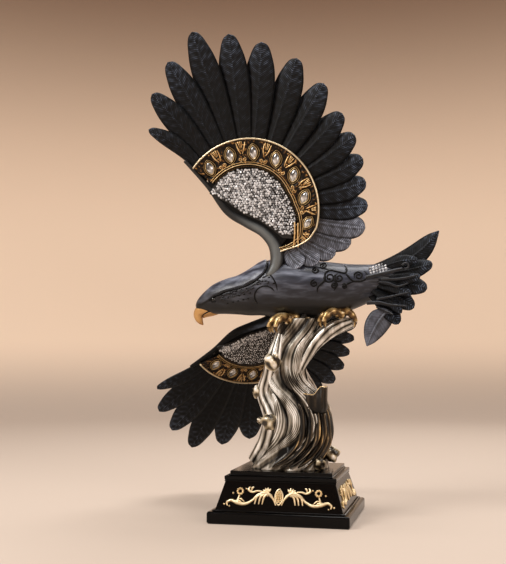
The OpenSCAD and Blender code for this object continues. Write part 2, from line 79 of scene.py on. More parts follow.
# Outlines of feathers: share of the length, share of the half width
PLUME = [
    (0, 0.55), (0.3, 0.8), (0.5, 0.93), (0.66, 0.97), (0.79, 0.87), (0.89, 0.67), (0.95, 0.5), (0.985, 0.3),
    (1, 0.05),
]
SICKLE = [(0, 0.55), (0.3, 0.9), (0.5, 1), (0.7, 0.9), (0.85, 0.62), (0.95, 0.26), (1, 0.05)]
ROUNDED = [(0, 0.6), (0.3, 0.85), (0.6, 1), (0.8, 0.94), (0.92, 0.7), (0.98, 0.38), (1, 0.08)]
LEAF = [(0, 0.45), (0.2, 0.95), (0.42, 1), (0.62, 0.86), (0.84, 0.5), (1, 0.05)]
# Leading edge, as x, y, z and radius
EDGE_LINE = [
    (-99, 103, 0, 2), (-76, 77, 0, 2.6), (-57, 52, 0, 4), (-38, 40, 0, 4.8),
    (-22, 31, 0, 5.4), (-12, 20, 0, 6.2), (-8, 8, 1, 7), (-9, -3, 4, 6.4), (-14, -11, 8, 4.6),
    (-22, -16, 10, 1),
]
# Lower edge of the field of small stones, as x and y
FIELD_EDGE = [(-72, 68), (-56, 60), (-40, 48), (-24, 41), (-10, 31), (-2, 25), (20, 25)]
BED_R = 50
BED_FACE = 3.9
STONE_COUNT = 7
STONE_L = 12
STONE_W = 7
FIRST_STONE_ANGLE = 131.5
STONE_STEP = 24.2

WINGS = {
    "raised": Matrix.Translation((0, -14, 240)) @ Matrix.Rotation(math.radians(97), 4, "X")
    @ Matrix.Scale(0.98, 4),
    "lowered": Matrix.Translation((-1, 21, 207))
    @ Euler([math.radians(a) for a in (41.7, 1.7, 23.5)]).to_matrix().to_4x4()
    @ Matrix.Diagonal((1, 1, -1, 1)) @ Matrix.Rotation(math.radians(90), 4, "X")
    @ Matrix.Scale(0.91, 4),
}

# x, centre height, half height and half width of the head and body
BODY_ROWS = [
    (-93, 200, 0.8, 0.8), (-92.5, 200, 2.5, 3), (-90.5, 201, 5, 6), (-84, 203.8, 9.3, 9),
    (-74.5, 206.4, 14.1, 12.5), (-62, 208.8, 16.8, 16), (-50, 210.2, 18.8, 19), (-38, 212.8, 22.4, 22),
    (-28, 215.7, 25.3, 24), (-14, 217, 28, 26), (0, 216.7, 28.4, 27), (20, 215.5, 27.3, 26.5),
    (40, 215.3, 25.5, 24), (60, 216.5, 22, 20), (78, 220, 17.8, 15), (92, 224.5, 13, 10),
    (102, 228, 7, 5), (103, 228.2, 0.2, 0.2),
]
# Lower and rear edge of the hood in side view, as x and z
HOOD = [
    (-96, 198), (-86, 200.5), (-77, 204.5), (-71, 208.6), (-65, 210.5), (-59, 213), (-40, 217),
    (-28, 222.4), (-20, 229), (-17.6, 233.5), (-18, 240), (-24.4, 249),
]
# Middle of the eye and of the ring on the shoulder in side view, as x and z
EYE = (-71.6, 205.6)
SHOULDER_RING = (-18, 207.2)

# Height above the plinth, centre x, centre y, half width and half depth of the trunk
TRUNK = [
    (0, 1, 0, 36, 34), (5, 2, 0, 34, 33), (14, 5, 0, 31, 30), (26, 9, -1, 29.5, 28), (40, 10, -1, 28.5, 27),
    (56, 8, 0, 28, 25), (66, 5, 0, 26, 23), (76, -1, 0, 22, 21), (86, -4, 0, 19, 19), (100, -3, 0, 18, 17),
    (116, 1, 0, 17, 16), (130, 8, 0, 18, 14), (141, 12, 0, 17, 13),
]
# How far the flutes have turned at heights above the plinth, in degrees
FLUTE_TURN = [(0, -58), (12, -34), (30, 2), (46, 14), (64, 4), (84, -16), (104, -24), (124, -10), (141, 8)]
# Thick roots and arm, as x, y, height above the plinth and radius
STRANDS = {
    "perch_arm": [(62, -3, 137, 5), (50, -2, 134, 7), (36, 0, 127, 7.5), (24, -2, 116, 7), (14, -6, 100, 6),
                  (6, -12, 82, 4)],
    "left_strand": [(-6, -12, 126, 3.5), (-11, -15, 104, 7.5), (-17, -13, 86, 6.5), (-22, -11, 70, 7),
                    (-14, -17, 48, 8), (-18, -19, 26, 8), (-31, -13, 7, 6.5)],
    "rear_strand": [(12, 10, 128, 4), (6, 14, 98, 6.5), (20, 19, 66, 7), (29, 19, 34, 7), (35, 21, 5, 5)],
}
STUB = Vector((26, -12, 0))
STUB_R = 13
TRUNK_H = 141

PLINTH_W = 130
PLINTH_D = 118
PLINTH_TOP = 46
SLAB_TOP = 11
SLOPE_TOP = 37.6
# How far the foot and the top of the sloping sides stand in from the plinth's edge
SLOPE_IN = (6, 14.2)

# The backdrop, in metres: a round floor that curves up into a wall
FLOOR_R = 1.3
CURVE_R = 0.8
WALL_TOP = 2.6

random.seed(7)


# ---------------------------------------------------------------- reading tables and curves

def lookup(x, rows):
    """Straight-line value at x."""
    if x <= rows[0][0]:
        return rows[0][1]
    for a, b in zip(rows, rows[1:]):
        if x <= b[0]:
            return a[1] + (b[1] - a[1]) * (x - a[0]) / (b[0] - a[0])
    return rows[-1][1]


def glide(x, rows):
    """Smooth values at x through rows that start with their x."""
    i = 0
    while i < len(rows) - 2 and rows[i + 1][0] <= x:
        i += 1
    a, b = rows[i], rows[i + 1]
    before, after = rows[max(i - 1, 0)], rows[min(i + 2, len(rows) - 1)]
    span = b[0] - a[0]
    t = min(1, max(0, (x - a[0]) / span))
    values = []
    for k in range(1, len(a)):
        leave = (b[k] - before[k]) / (b[0] - before[0]) * span
        arrive = (after[k] - a[k]) / (after[0] - a[0]) * span
        values.append(
            (2 * t ** 3 - 3 * t ** 2 + 1) * a[k] + (t ** 3 - 2 * t ** 2 + t) * leave
            + (3 * t ** 2 - 2 * t ** 3) * b[k] + (t ** 3 - t ** 2) * arrive)
    return values


def along(points, t):
    """Point at t, from 0 to 1, on the smooth curve through points."""
    spot = t * (len(points) - 1)
    i = min(int(spot), len(points) - 2)
    f = spot - i
    a, b, c, d = points[max(i - 1, 0)], points[i], points[i + 1], points[min(i + 2, len(points) - 1)]
    return [
        0.5 * (2 * q + (r - p) * f + (2 * p - 5 * q + 4 * r - s) * f ** 2 + (3 * q - p - 3 * r + s) * f ** 3)
        for p, q, r, s in zip(a, b, c, d)
    ]


def ease(x):
    """0 below 0, 1 above 1 and smooth between."""
    x = min(1, max(0, x))
    return x * x * (3 - 2 * x)


def fan_point(radius, degrees, z=0):
    a = math.radians(degrees)
    return FAN + Vector((radius * math.cos(a), radius * math.sin(a), z))


# ---------------------------------------------------------------- mesh tools

def new_form():
    """Empty form whose points carry a tone: 0 in the grooves, 1 on the ridges; on some pieces it also carries
    painted light and shade.
    """
    form = bmesh.new()
    form.verts.layers.float.new("tone")
    return form


def skin(form, around, length, place, closed=True, caps=True):
    """Quads bent over a shape: place(j, i) gives the point and tone at step j round and i along."""
    tone = form.verts.layers.float["tone"]
    made = bmesh.ops.create_grid(form, x_segments=around, y_segments=length, size=0.5)["verts"]
    for vert in made:
        vert.co, vert[tone] = place(round((vert.co.x + 0.5) * around), round((vert.co.y + 0.5) * length))
    if closed:
        bmesh.ops.remove_doubles(form, verts=made, dist=MERGE)
    if caps:
        rims = {e for v in made if v.is_valid for e in v.link_edges if e.is_boundary}
        if rims:
            bmesh.ops.holes_fill(form, edges=list(rims), sides=0)


def rod(form, points, sides=10, rings=24, ref=(0, 1, 0), flat=1.0, shape=None):
    """Tube along points (x, y, z, radius); shape(degrees, t) gives a radius factor and a tone."""
    stations = []
    for i in range(rings + 1):
        t = i / rings
        here = along(points, t)
        ahead = Vector(along(points, min(1, t + 0.01))[:3])
        behind = Vector(along(points, max(0, t - 0.01))[:3])
        heading = (ahead - behind).normalized()
        across = Vector(ref).cross(heading).normalized()
        stations.append((Vector(here[:3]), here[3], across, heading.cross(across), t))

    def place(j, i):
        centre, radius, across, up, t = stations[i]
        turn = 2 * math.pi * j / sides
        factor, tone = shape(math.degrees(turn), t) if shape else (1, 0.5 + 0.5 * math.sin(turn))
        reach = radius * factor
        return centre + across * (reach * math.cos(turn)) + up * (flat * reach * math.sin(turn)), tone

    skin(form, sides, rings, place)


def loop_rod(form, points, radius, sides=8, flat=1.0, tone=0.8):
    """Closed tube of constant radius round the flat closed line points, in the z direction."""
    count = len(points)

    def place(j, i):
        here = points[i % count]
        heading = (points[(i + 1) % count] - points[i - 1 if i else count - 1]).normalized()
        if i == count:
            heading = (points[1] - points[count - 1]).normalized()
        across = heading.cross(Vector((0, 0, 1)))
        turn = 2 * math.pi * j / sides
        return (here + across * (radius * math.cos(turn)) + Vector((0, 0, flat * radius * math.sin(turn))),
                tone + 0.2 * math.sin(turn))

    skin(form, sides, count, place, caps=False)


def bead(form, centre, radius, flat=1.0, tone=0.8, sides=8, rings=5):
    """Small round bead."""
    layer = form.verts.layers.float["tone"]
    made = bmesh.ops.create_uvsphere(form, u_segments=sides, v_segments=rings, radius=radius)["verts"]
    for vert in made:
        vert[layer] = tone
    bmesh.ops.scale(form, vec=(1, 1, flat), verts=made)
    bmesh.ops.translate(form, vec=centre, verts=made)


def lump(form, centre, radii, ripple=0.06, waves=5, ring=0.0, tone=0.5):
    """Worn wooden knob: an egg with a rippled skin, and a ring round it where ring is over 0."""
    around = 28
    length = 18

    def place(j, i):
        a = 2 * math.pi * j / around
        b = math.pi * (i / length - 0.5)
        way = Vector((math.cos(a) * math.cos(b), math.sin(a) * math.cos(b), math.sin(b)))
        worn = noise.noise(way * 1.7 + Vector(centre))
        swell = 1 + ripple * math.sin(waves * a + 3 * b) + ring * math.exp(-((b - 0.35) / 0.16) ** 2)
        swell += 0.3 * worn
        offset = Vector(x * r for x, r in zip(way, radii))
        return Vector(centre) + offset * swell, tone + 0.3 * math.sin(waves * a + 3 * b) + 1.1 * worn

    skin(form, around, length, place)


def finish_piece(name, form, material, nodes=(), place=None, smooth=True, sharp=None):
    """Turns a form into a finished piece of the statuette, in metres, standing for the CAD nodes."""
    if place is not None:
        bmesh.ops.transform(form, matrix=place, verts=form.verts)
    bmesh.ops.scale(form, vec=(MM, MM, MM), verts=form.verts)
    bmesh.ops.recalc_face_normals(form, faces=form.faces)
    for face in form.faces:
        face.smooth = smooth
    mesh = bpy.data.meshes.new(name)
    form.to_mesh(mesh)
    form.free()
    if sharp:
        mesh.set_sharp_from_angle(angle=math.radians(sharp))
    mesh.materials.append(material)
    piece = bpy.data.objects.new(name, mesh)
    bpy.context.scene.collection.objects.link(piece)
    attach(piece, BODY)
    if nodes:
        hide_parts(*nodes)
    return piece


# ---------------------------------------------------------------- finishes

def shade(red, green, blue):
    """Linear colour of an 8-bit one."""
    def linear(value):
        value /= 255
        return value / 12.92 if value <= 0.04045 else ((value + 0.055) / 1.055) ** 2.4
    return (linear(red), linear(green), linear(blue), 1.0)


def start_material(name, metallic, roughness, coat=0.0, gleam=0.5):
    material = bpy.data.materials.new(name)
    material.use_nodes = True
    nodes, links = material.node_tree.nodes, material.node_tree.links
    surface = nodes["Principled BSDF"]
    surface.inputs["Metallic"].default_value = metallic
    surface.inputs["Roughness"].default_value = roughness
    surface.inputs["Coat Weight"].default_value = coat
    surface.inputs["Coat Roughness"].default_value = 0.15
    surface.inputs["Specular IOR Level"].default_value = gleam
    return material, nodes, links, surface


def object_noise(nodes, links, scale, detail=3.0, stretch=(1, 1, 1)):
    """Noise on the object's own coordinates; scale is in waves per metre."""
    coordinates = nodes.new("ShaderNodeTexCoord")
    mapping = nodes.new("ShaderNodeMapping")
    mapping.inputs["Scale"].default_value = stretch
    texture = nodes.new("ShaderNodeTexNoise")
    texture.inputs["Scale"].default_value = scale
    texture.inputs["Detail"].default_value = detail
    links.new(coordinates.outputs["Object"], mapping.inputs["Vector"])
    links.new(mapping.outputs["Vector"], texture.inputs["Vector"])
    return texture.outputs["Fac"]


def add_bump(nodes, links, surface, height, strength, distance):
    bump = nodes.new("ShaderNodeBump")
    bump.inputs["Strength"].default_value = strength
    bump.inputs["Distance"].default_value = distance
    links.new(height, bump.inputs["Height"])
    links.new(bump.outputs["Normal"], surface.inputs["Normal"])


def toned(name, stops, metallic=0.0, roughness=(0.3, 0.5), coat=0.0, grain=260, mottle=0.25,
          bump=0.25, fade=None, stretch=(1, 1, 1), gleam=0.5):
    """Painted or plated finish: colours run from groove to ridge, broken up by wear and grain, and some tones
    are painted light.

    stops are (tone, colour); fade is (low z, high z, colour) in metres: the colour darkens towards the
    bottom, partly a darker coat and partly painted shade."""
    material, nodes, links, surface = start_material(name, metallic, 0.4, coat, gleam)
    tone = nodes.new("ShaderNodeAttribute")
    tone.attribute_name = "tone"
    wear = object_noise(nodes, links, grain, stretch=stretch)
    sway = nodes.new("ShaderNodeMath")
    sway.operation = "MULTIPLY_ADD"
    sway.inputs[1].default_value = mottle
    links.new(wear, sway.inputs[0])
    centred = nodes.new("ShaderNodeMath")
    centred.operation = "SUBTRACT"
    centred.inputs[1].default_value = mottle / 2
    links.new(tone.outputs["Fac"], sway.inputs[2])
    links.new(sway.outputs[0], centred.inputs[0])
    ramp = nodes.new("ShaderNodeValToRGB")
    elements = ramp.color_ramp.elements
    while len(elements) < len(stops):
        elements.new(0.5)
    for element, (position, colour) in zip(elements, stops):
        element.position = position
        element.color = colour
    links.new(centred.outputs[0], ramp.inputs["Fac"])
    colour = ramp.outputs["Color"]
    if fade:
        coordinates = nodes.new("ShaderNodeTexCoord")
        split = nodes.new("ShaderNodeSeparateXYZ")
        links.new(coordinates.outputs["Object"], split.inputs[0])
        level = nodes.new("ShaderNodeMapRange")
        level.inputs["From Min"].default_value = fade[0]
        level.inputs["From Max"].default_value = fade[1]
        links.new(split.outputs["Z"], level.inputs["Value"])
        mix = nodes.new("ShaderNodeMix")
        mix.data_type = "RGBA"
        links.new(level.outputs["Result"], mix.inputs["Factor"])
        mix.inputs["A"].default_value = fade[2]
        links.new(colour, mix.inputs["B"])
        colour = mix.outputs["Result"]
    links.new(colour, surface.inputs["Base Color"])
    polish = nodes.new("ShaderNodeMapRange")
    polish.inputs["To Min"].default_value = roughness[0]
    polish.inputs["To Max"].default_value = roughness[1]
    links.new(wear, polish.inputs["Value"])
    links.new(polish.outputs["Result"], surface.inputs["Roughness"])
    add_bump(nodes, links, surface, object_noise(nodes, links, grain * 4, 4.0, stretch), bump, 0.0003)
    return material


def make_finishes(looks):
    """Every finish on the statuette, by its plain name."""
    gold = (*looks.gold, 1)
    silver = (*looks.silver, 1)
    return {
        "feather": toned(
            "feather_patina",
            [(0, shade(1, 2, 3)), (0.25, shade(7, 9, 12)), (0.5, (*looks.patina, 1)),
             (1, shade(112, 126, 150))],
            0.0, (0.42, 0.58), mottle=0.5, bump=0.25, gleam=0.16),
        "scapular": toned(
            "scapular_patina",
            [(0, shade(10, 11, 13)), (0.35, shade(48, 51, 59)), (0.7, shade(104, 110, 126)),
             (1, shade(164, 172, 188))],
            0.0, (0.38, 0.5), mottle=0.4, gleam=0.4),
        # body: fade darkens the underside, partly a darker coat and partly painted shade
        "body": toned(
            "body_patina",
            [(0, shade(3, 3, 5)), (0.3, shade(20, 22, 28)), (0.55, shade(55, 59, 72)),
             (1, shade(150, 158, 176))],
            0.0, (0.3, 0.46), coat=0.1, grain=170, mottle=1.1, bump=0.4,
            fade=(0.197, 0.228, shade(5, 5, 6)), stretch=(0.22, 0.8, 1), gleam=0.35),
        "ink": toned(
            "scroll_black",
            [(0, shade(3, 3, 4)), (1, shade(8, 8, 10))],
            0.0, (0.4, 0.6), mottle=0.1, gleam=0.2),
        "edge": toned(
            "satin_grey",
            [(0, shade(9, 10, 11)), (0.35, shade(40, 42, 44)), (0.75, shade(92, 96, 97)),
             (1, shade(118, 122, 122))],
            0.1, (0.36, 0.48), mottle=0.2, grain=120, bump=0.15, gleam=0.4),
        "gold": toned(
            "antique_gold",
            [(0, shade(44, 30, 14)), (0.35, shade(142, 110, 62)), (0.7, gold), (1, shade(250, 236, 200))],
            0.75, (0.26, 0.4), mottle=0.3, grain=500),
        "rim": toned(
            "rim_gold",
            [(0, shade(96, 70, 38)), (0.5, shade(212, 182, 128)), (1, shade(255, 242, 212))],
            0.7, (0.24, 0.34), mottle=0.2, grain=300, bump=0.1),
        "beak": toned(
            "beak_gold",
            [(0, shade(60, 32, 12)), (0.45, shade(150, 102, 52)), (1, shade(212, 166, 104))],
            0.35, (0.28, 0.38), coat=0.2, mottle=0.25, grain=180),
        "claw": toned(
            "claw_gold",
            [(0, shade(28, 18, 9)), (0.4, shade(104, 78, 44)), (0.7, shade(196, 164, 108)),
             (1, shade(244, 228, 190))],
            0.6, (0.26, 0.4), coat=0.1, mottle=0.4, grain=160),
        "band": toned(
            "band_bronze",
            [(0, shade(7, 5, 3)), (0.4, shade(30, 19, 9)), (0.65, shade(98, 66, 31)),
             (0.85, shade(184, 138, 78)), (1, shade(240, 212, 158))],
            0.6, (0.3, 0.5), mottle=0.5, grain=420),
        "bed": toned(
            "bed_silver",
            [(0, shade(26, 25, 24)), (0.5, shade(72, 70, 68)), (1, shade(124, 122, 120))],
            0.3, (0.4, 0.6), mottle=0.5, grain=600),
        "stones": toned(
            "foil_backed_glass",
            [(0, shade(26, 26, 28)), (0.35, shade(92, 92, 94)), (0.7, shade(190, 190, 190)),
             (1, shade(255, 255, 254))],
            0.45, (0.08, 0.16), coat=0.5, mottle=0.0, bump=0.0),
        "pave": toned(
            "small_glass",
            [(0, shade(48, 48, 48)), (0.4, shade(126, 127, 130)), (1, shade(226, 228, 232))],
            0.1, (0.2, 0.3), coat=0.4, mottle=0.0, bump=0.0),
        "stump": toned(
            "antique_silver",
            [(0, shade(8, 6, 5)), (0.25, shade(34, 30, 25)), (0.45, shade(92, 86, 76)), (0.58, silver),
             (0.8, shade(192, 188, 180)), (1, shade(252, 250, 246))],
            0.5, (0.26, 0.44), mottle=1.05, grain=170, bump=0.6, stretch=(1, 1, 0.25)),
        "knot": toned(
            "cream_knob",
            [(0, shade(36, 29, 20)), (0.35, shade(120, 106, 82)), (0.7, shade(204, 190, 160)),
             (1, shade(255, 250, 238))],
            0.3, (0.24, 0.36), coat=0.2, mottle=0.35, grain=160),
        "stub": toned(
            "stub_bronze",
            [(0, shade(6, 5, 4)), (0.4, shade(28, 24, 19)), (0.75, shade(92, 78, 60)),
             (1, shade(250, 210, 146))],
            0.5, (0.28, 0.44), mottle=0.25, grain=260),
        "lacquer": toned(
            "black_lacquer",
            [(0, shade(2, 2, 3)), (1, shade(5, 5, 6))],
            0.0, (0.12, 0.22), grain=60, bump=0.04, gleam=0.16),
        "felt": toned(
            "felt_pad",
            [(0, shade(18, 20, 20)), (1, shade(52, 56, 54))],
            0.0, (0.85, 0.98), grain=1500, mottle=1.4, bump=0.9),
        "steel": toned(
            "zinc_steel",
            [(0, shade(120, 122, 126)), (1, shade(190, 192, 196))],
            0.95, (0.28, 0.42), grain=700, mottle=1.0),
        "eye": toned(
            "eye_glass",
            [(0, shade(2, 2, 2)), (0.5, shade(8, 6, 4)), (1, shade(120, 84, 40))],
            0.1, (0.12, 0.18), coat=0.4, mottle=0.0, bump=0.0),
    }


FINISHES = {}


# ---------------------------------------------------------------- feathers

def blade(form, core, half, length, outline=PLUME, pitch=1.9, thick=1.3, shaft=0.5, groove=0.3, bias=0.0,
          pale=0.0):
    """Feather: core(t) gives its middle point, the direction across it and the way it faces.

    bias shifts its tone, and pale lightens the barbs and darkens the outline."""
    steps = 16
    rows = max(16, 2 * round(length / pitch))
    chevron = min(0.6, 3.0 * half / length)
    cut = min(1, 4 * groove)

    def place(j, i):
        front = j <= steps
        x = -1 + 2 * j / steps if front else 1 - 2 * (j - steps) / steps
        s = 0.45 * x + 0.55 * x ** 3
        v = i / rows
        t = v * (1 + chevron * (1 - v) * abs(s))
        centre, across, facing = core(t)
        width = half * glide(t, outline)[0]
        vane = 1 - s ** 6
        odd = i % 2
        lively = 0.65 + 0.35 * math.sin(0.9 * i + 9 * bias + (2 if s < 0 else 0)) * math.sin(1.7 * i + 5 * s)
        barb = groove * odd * vane * min(1, 12 * abs(s)) * lively
        quill = math.exp(-(s / 0.06) ** 2)
        crown = (0.25 + 0.75 * (1 - s * s)) * thick * min(1, 6 * (1 - abs(s)))
        rise = crown + barb + shaft * quill * (1 - 0.6 * t)
        tone = 0.06 + bias + 0.5 * pale + cut * odd * lively * (0.42 + 0.3 * ease(t * 1.6 - 0.6) + 0.1 * pale)
        tone += 0.12 * ease(t * 3 - 2) + 0.1 * quill
        tone -= (0.15 + pale) * math.exp(-((abs(s) - 0.16) / 0.06) ** 2) * 0.5
        # Painted shadow: the outer edges of each feather are darkened as shadow lines where feathers overlap;
        # pale makes them darker.
        if abs(s) > 0.85:
            tone *= 1 - 0.8 * min(1, 0.4 + pale)
        return centre + across * (width * s) + facing * (rise if front else -rise), tone

    skin(form, 2 * steps, rows, place)


def wing_feather(form, i, outline=PLUME, bias=0.0, pale=0.0):
    """Feather i of the fan, rolled so that it lies over the next one."""
    a = math.radians(lookup(i, TIP_ANGLE))
    reach = lookup(i, TIP_RADIUS)
    root = PANEL_R - 4
    out = Vector((math.cos(a), math.sin(a), 0))
    roll = Vector((-math.sin(a), math.cos(a), -0.13)).normalized()
    facing = out.cross(roll)
    lift = lookup(i, [(12, 0), (15, 3), (17, 7)])
    bow = lookup(i, [(0, -11), (1, -3), (4, 0), (9, -2), (17, -3)])

    def core(t):
        r = root + (reach - root) * t
        height = 0.25 * (i % 2) + 6.5 * (max(r - PANEL_R, 0) / 126) ** 2 + lift * t
        sweep = Vector((-out.y, out.x, 0)) * (bow * math.sin(math.pi * min(1, t)) * 0.5)
        return FAN + out * r + Vector((0, 0, height)) + sweep, roll, facing

    blade(form, core, lookup(i, HALF_WIDTH), reach - root, outline, bias=bias, pale=pale)


def covert_feather(form, radius, degrees, length, half, depth):
    """Short feather on the back of the wing."""
    a = math.radians(degrees)
    out = Vector((math.cos(a), math.sin(a), 0))
    roll = Vector((-math.sin(a), math.cos(a), 0.12)).normalized()
    facing = roll.cross(out)

    def core(t):
        dip = Vector((0, 0, -depth - 0.9 * math.sin(2 * t)))
        return FAN + out * (radius + length * t) + dip, roll, facing

    blade(form, core, half, length, ROUNDED, pitch=2.4, thick=0.9, shaft=0.3)


class EAGLE_OT_wing_feathers(bpy.types.Operator):
    """Builds the primaries, secondaries and shoulder feathers of both wings"""
    bl_idname = "eagle.wing_feathers"
    bl_label = "Wing feathers"

    def execute(self, context):
        groups = [
            ("primaries", "primary_plumes", PRIMARIES, PLUME, "feather", "feather_black"),
            ("secondaries", "secondary_plumes", SECONDARIES, PLUME, "feather", "feather_black"),
            (None, "shoulder_plumes", SCAPULARS, ROUNDED, "scapular", "leaf_grey"),
        ]
        for wing, place in WINGS.items():
            for node, title, members, outline, finish, slot in groups:
                form = new_form()
                for i in members:
                    # Painted shade: the lowered wing gets no paling and its shoulder plumes take the black
                    # feather finish, a shaded copy of the raised wing.
                    pale = lookup(i, [(9, 0), (12, 0.3), (17, 0.5)]) if wing == "raised" else 0
                    wing_feather(form, i, outline, random.uniform(-0.04, 0.04), pale)
                nodes = (f"{wing}_{node}",) if node else ()
                look = finish if wing == "raised" else "feather"
                finish_piece(f"{wing}_{title}", form, FINISHES[look], nodes, place)
        return {"FINISHED"}


class EAGLE_OT_back_coverts(bpy.types.Operator):
    """Builds the rows of short feathers that cover the back of each wing"""
    bl_idname = "eagle.back_coverts"
    bl_label = "Back coverts"

    def execute(self, context):
        rows = [(43, 34, 9.5, 3.1, 15), (26, 32, 8.5, 3.9, 12), (8, 30, 8, 4.7, 9)]
        first, spread = -38, 168
        for wing, place in WINGS.items():
            form = new_form()
            for radius, length, half, depth, count in rows:
                for k in range(count):
                    degrees = first + spread * (k + 0.5) / count
                    covert_feather(form, radius, degrees, length, half, depth)
            finish_piece(f"{wing}_back_coverts", form, FINISHES["feather"], (), place)
        return {"FINISHED"}


class EAGLE_OT_leading_edges(bpy.types.Operator):
    """Builds the satin tube along the front edge of each wing"""
    bl_idname = "eagle.leading_edges"
    bl_label = "Leading edges"

    def execute(self, context):
        # Painted light: the tube's tone is lit along its front and back faces and shaded at its sides; it is
        # also darker towards its outer end.
        def tube(degrees, t):
            facing = math.sin(math.radians(degrees))
            return 1, (0.8 * abs(facing) ** 2.2 + 0.03) * (0.25 + 0.75 * ease(t * 4.5 - 0.9))

        for wing, place in WINGS.items():
            form = new_form()
            rod(form, EDGE_LINE, sides=28, rings=110, ref=(0, 0, 1), shape=tube)
            # Painted shade: the lowered wing's tube takes the black feather finish, a shaded copy of the
            # raised wing's satin grey.
            look = "edge" if wing == "raised" else "feather"
            finish_piece(f"{wing}_edge_tube", form, FINISHES[look],
                         (f"{wing}_leading_edge",), place)
        return {"FINISHED"}


# ---------------------------------------------------------------- jewelled fan

def stone_angle(i):
    return FIRST_STONE_ANGLE - STONE_STEP * i


def stone_radius(i):
    a = stone_angle(i)
    return (lookup(a, BAND_IN) + RIM_W + lookup(a, BAND_OUT)) / 2 - 0.8


def pointed_oval(length, width, count=24):
    """Points of a navette, with its tips along y."""
    points = []
    for k in range(count):
        a = 2 * math.pi * k / count
        bulge = math.copysign(abs(math.sin(a)) ** 1.6, math.sin(a))
        points.append(Vector((width / 2 * bulge, -length / 2 * math.cos(a), 0)))
    return points


def stone_place(i):
    a = stone_angle(i)
    size = 0.9 if i == STONE_COUNT - 1 else 1.06
    return (Matrix.Translation(fan_point(stone_radius(i), a, BAND_FACE))
            @ Matrix.Rotation(math.radians(0.4 * a - 30), 4, "Z") @ Matrix.Scale(size, 4))


def band_relief(radius, degrees, inner, outer):
    """Height and tone of the band's face: seats round the stones and worn ripples between."""
    here = fan_point(radius, degrees)
    nearest = 9
    for i in range(STONE_COUNT):
        local = stone_place(i).inverted() @ Vector((here.x, here.y, BAND_FACE))
        gap = math.hypot(local.x / (STONE_W / 2 + 3), local.y / (STONE_L / 2 + 3))
        nearest = min(nearest, gap)
    seat = 1 - ease((nearest - 0.8) / 0.35)
    fringe = ease((radius - inner) / 2) * ease((outer - radius) / 2)
    rough = noise.noise(here * 0.42) + 0.5 * noise.noise(here * 1.1)
    ridge = ease(1.3 * rough + 0.22)
    height = -1.1 * seat + 0.8 * ridge * (1 - seat) * fringe
    return height, (0.04 + 0.86 * ridge) * (1 - seat) * (0.3 + 0.7 * fringe)


def edge_bead(form, rows, offset, half_width, half_height, middle, steps=150, low=0.0):
    """Rounded strip that follows one edge of the band."""
    sides = 12

    def place(j, i):
        degrees = BAND_ENDS[0] + (BAND_ENDS[1] - BAND_ENDS[0]) * i / steps
        turn = 2 * math.pi * j / sides
        radius = lookup(degrees, rows) + offset + half_width * math.cos(turn)
        spot = fan_point(radius, degrees, middle + half_height * math.sin(turn))
        return spot, low + 0.5 + 0.4 * math.sin(turn)

    skin(form, sides, steps, place)


def spiral(form, centre, size, start, turns, thick, lift=0.0, points=9):
    """Tendril that winds inwards, lying in the plane z = centre's z."""
    line = []
    for k in range(points):
        t = k / (points - 1)
        a = math.radians(start) + 2 * math.pi * turns * t
        r = size * (1 - 0.8 * t)
        line.append((centre[0] + r * math.cos(a), centre[1] + r * math.sin(a), centre[2] + lift * t,
                     thick * (0.6 + 0.7 * t)))
    rod(form, line, sides=6, rings=4 * points, ref=(0, 0, 1))
    bead(form, line[-1][:3], thick * 1.7)


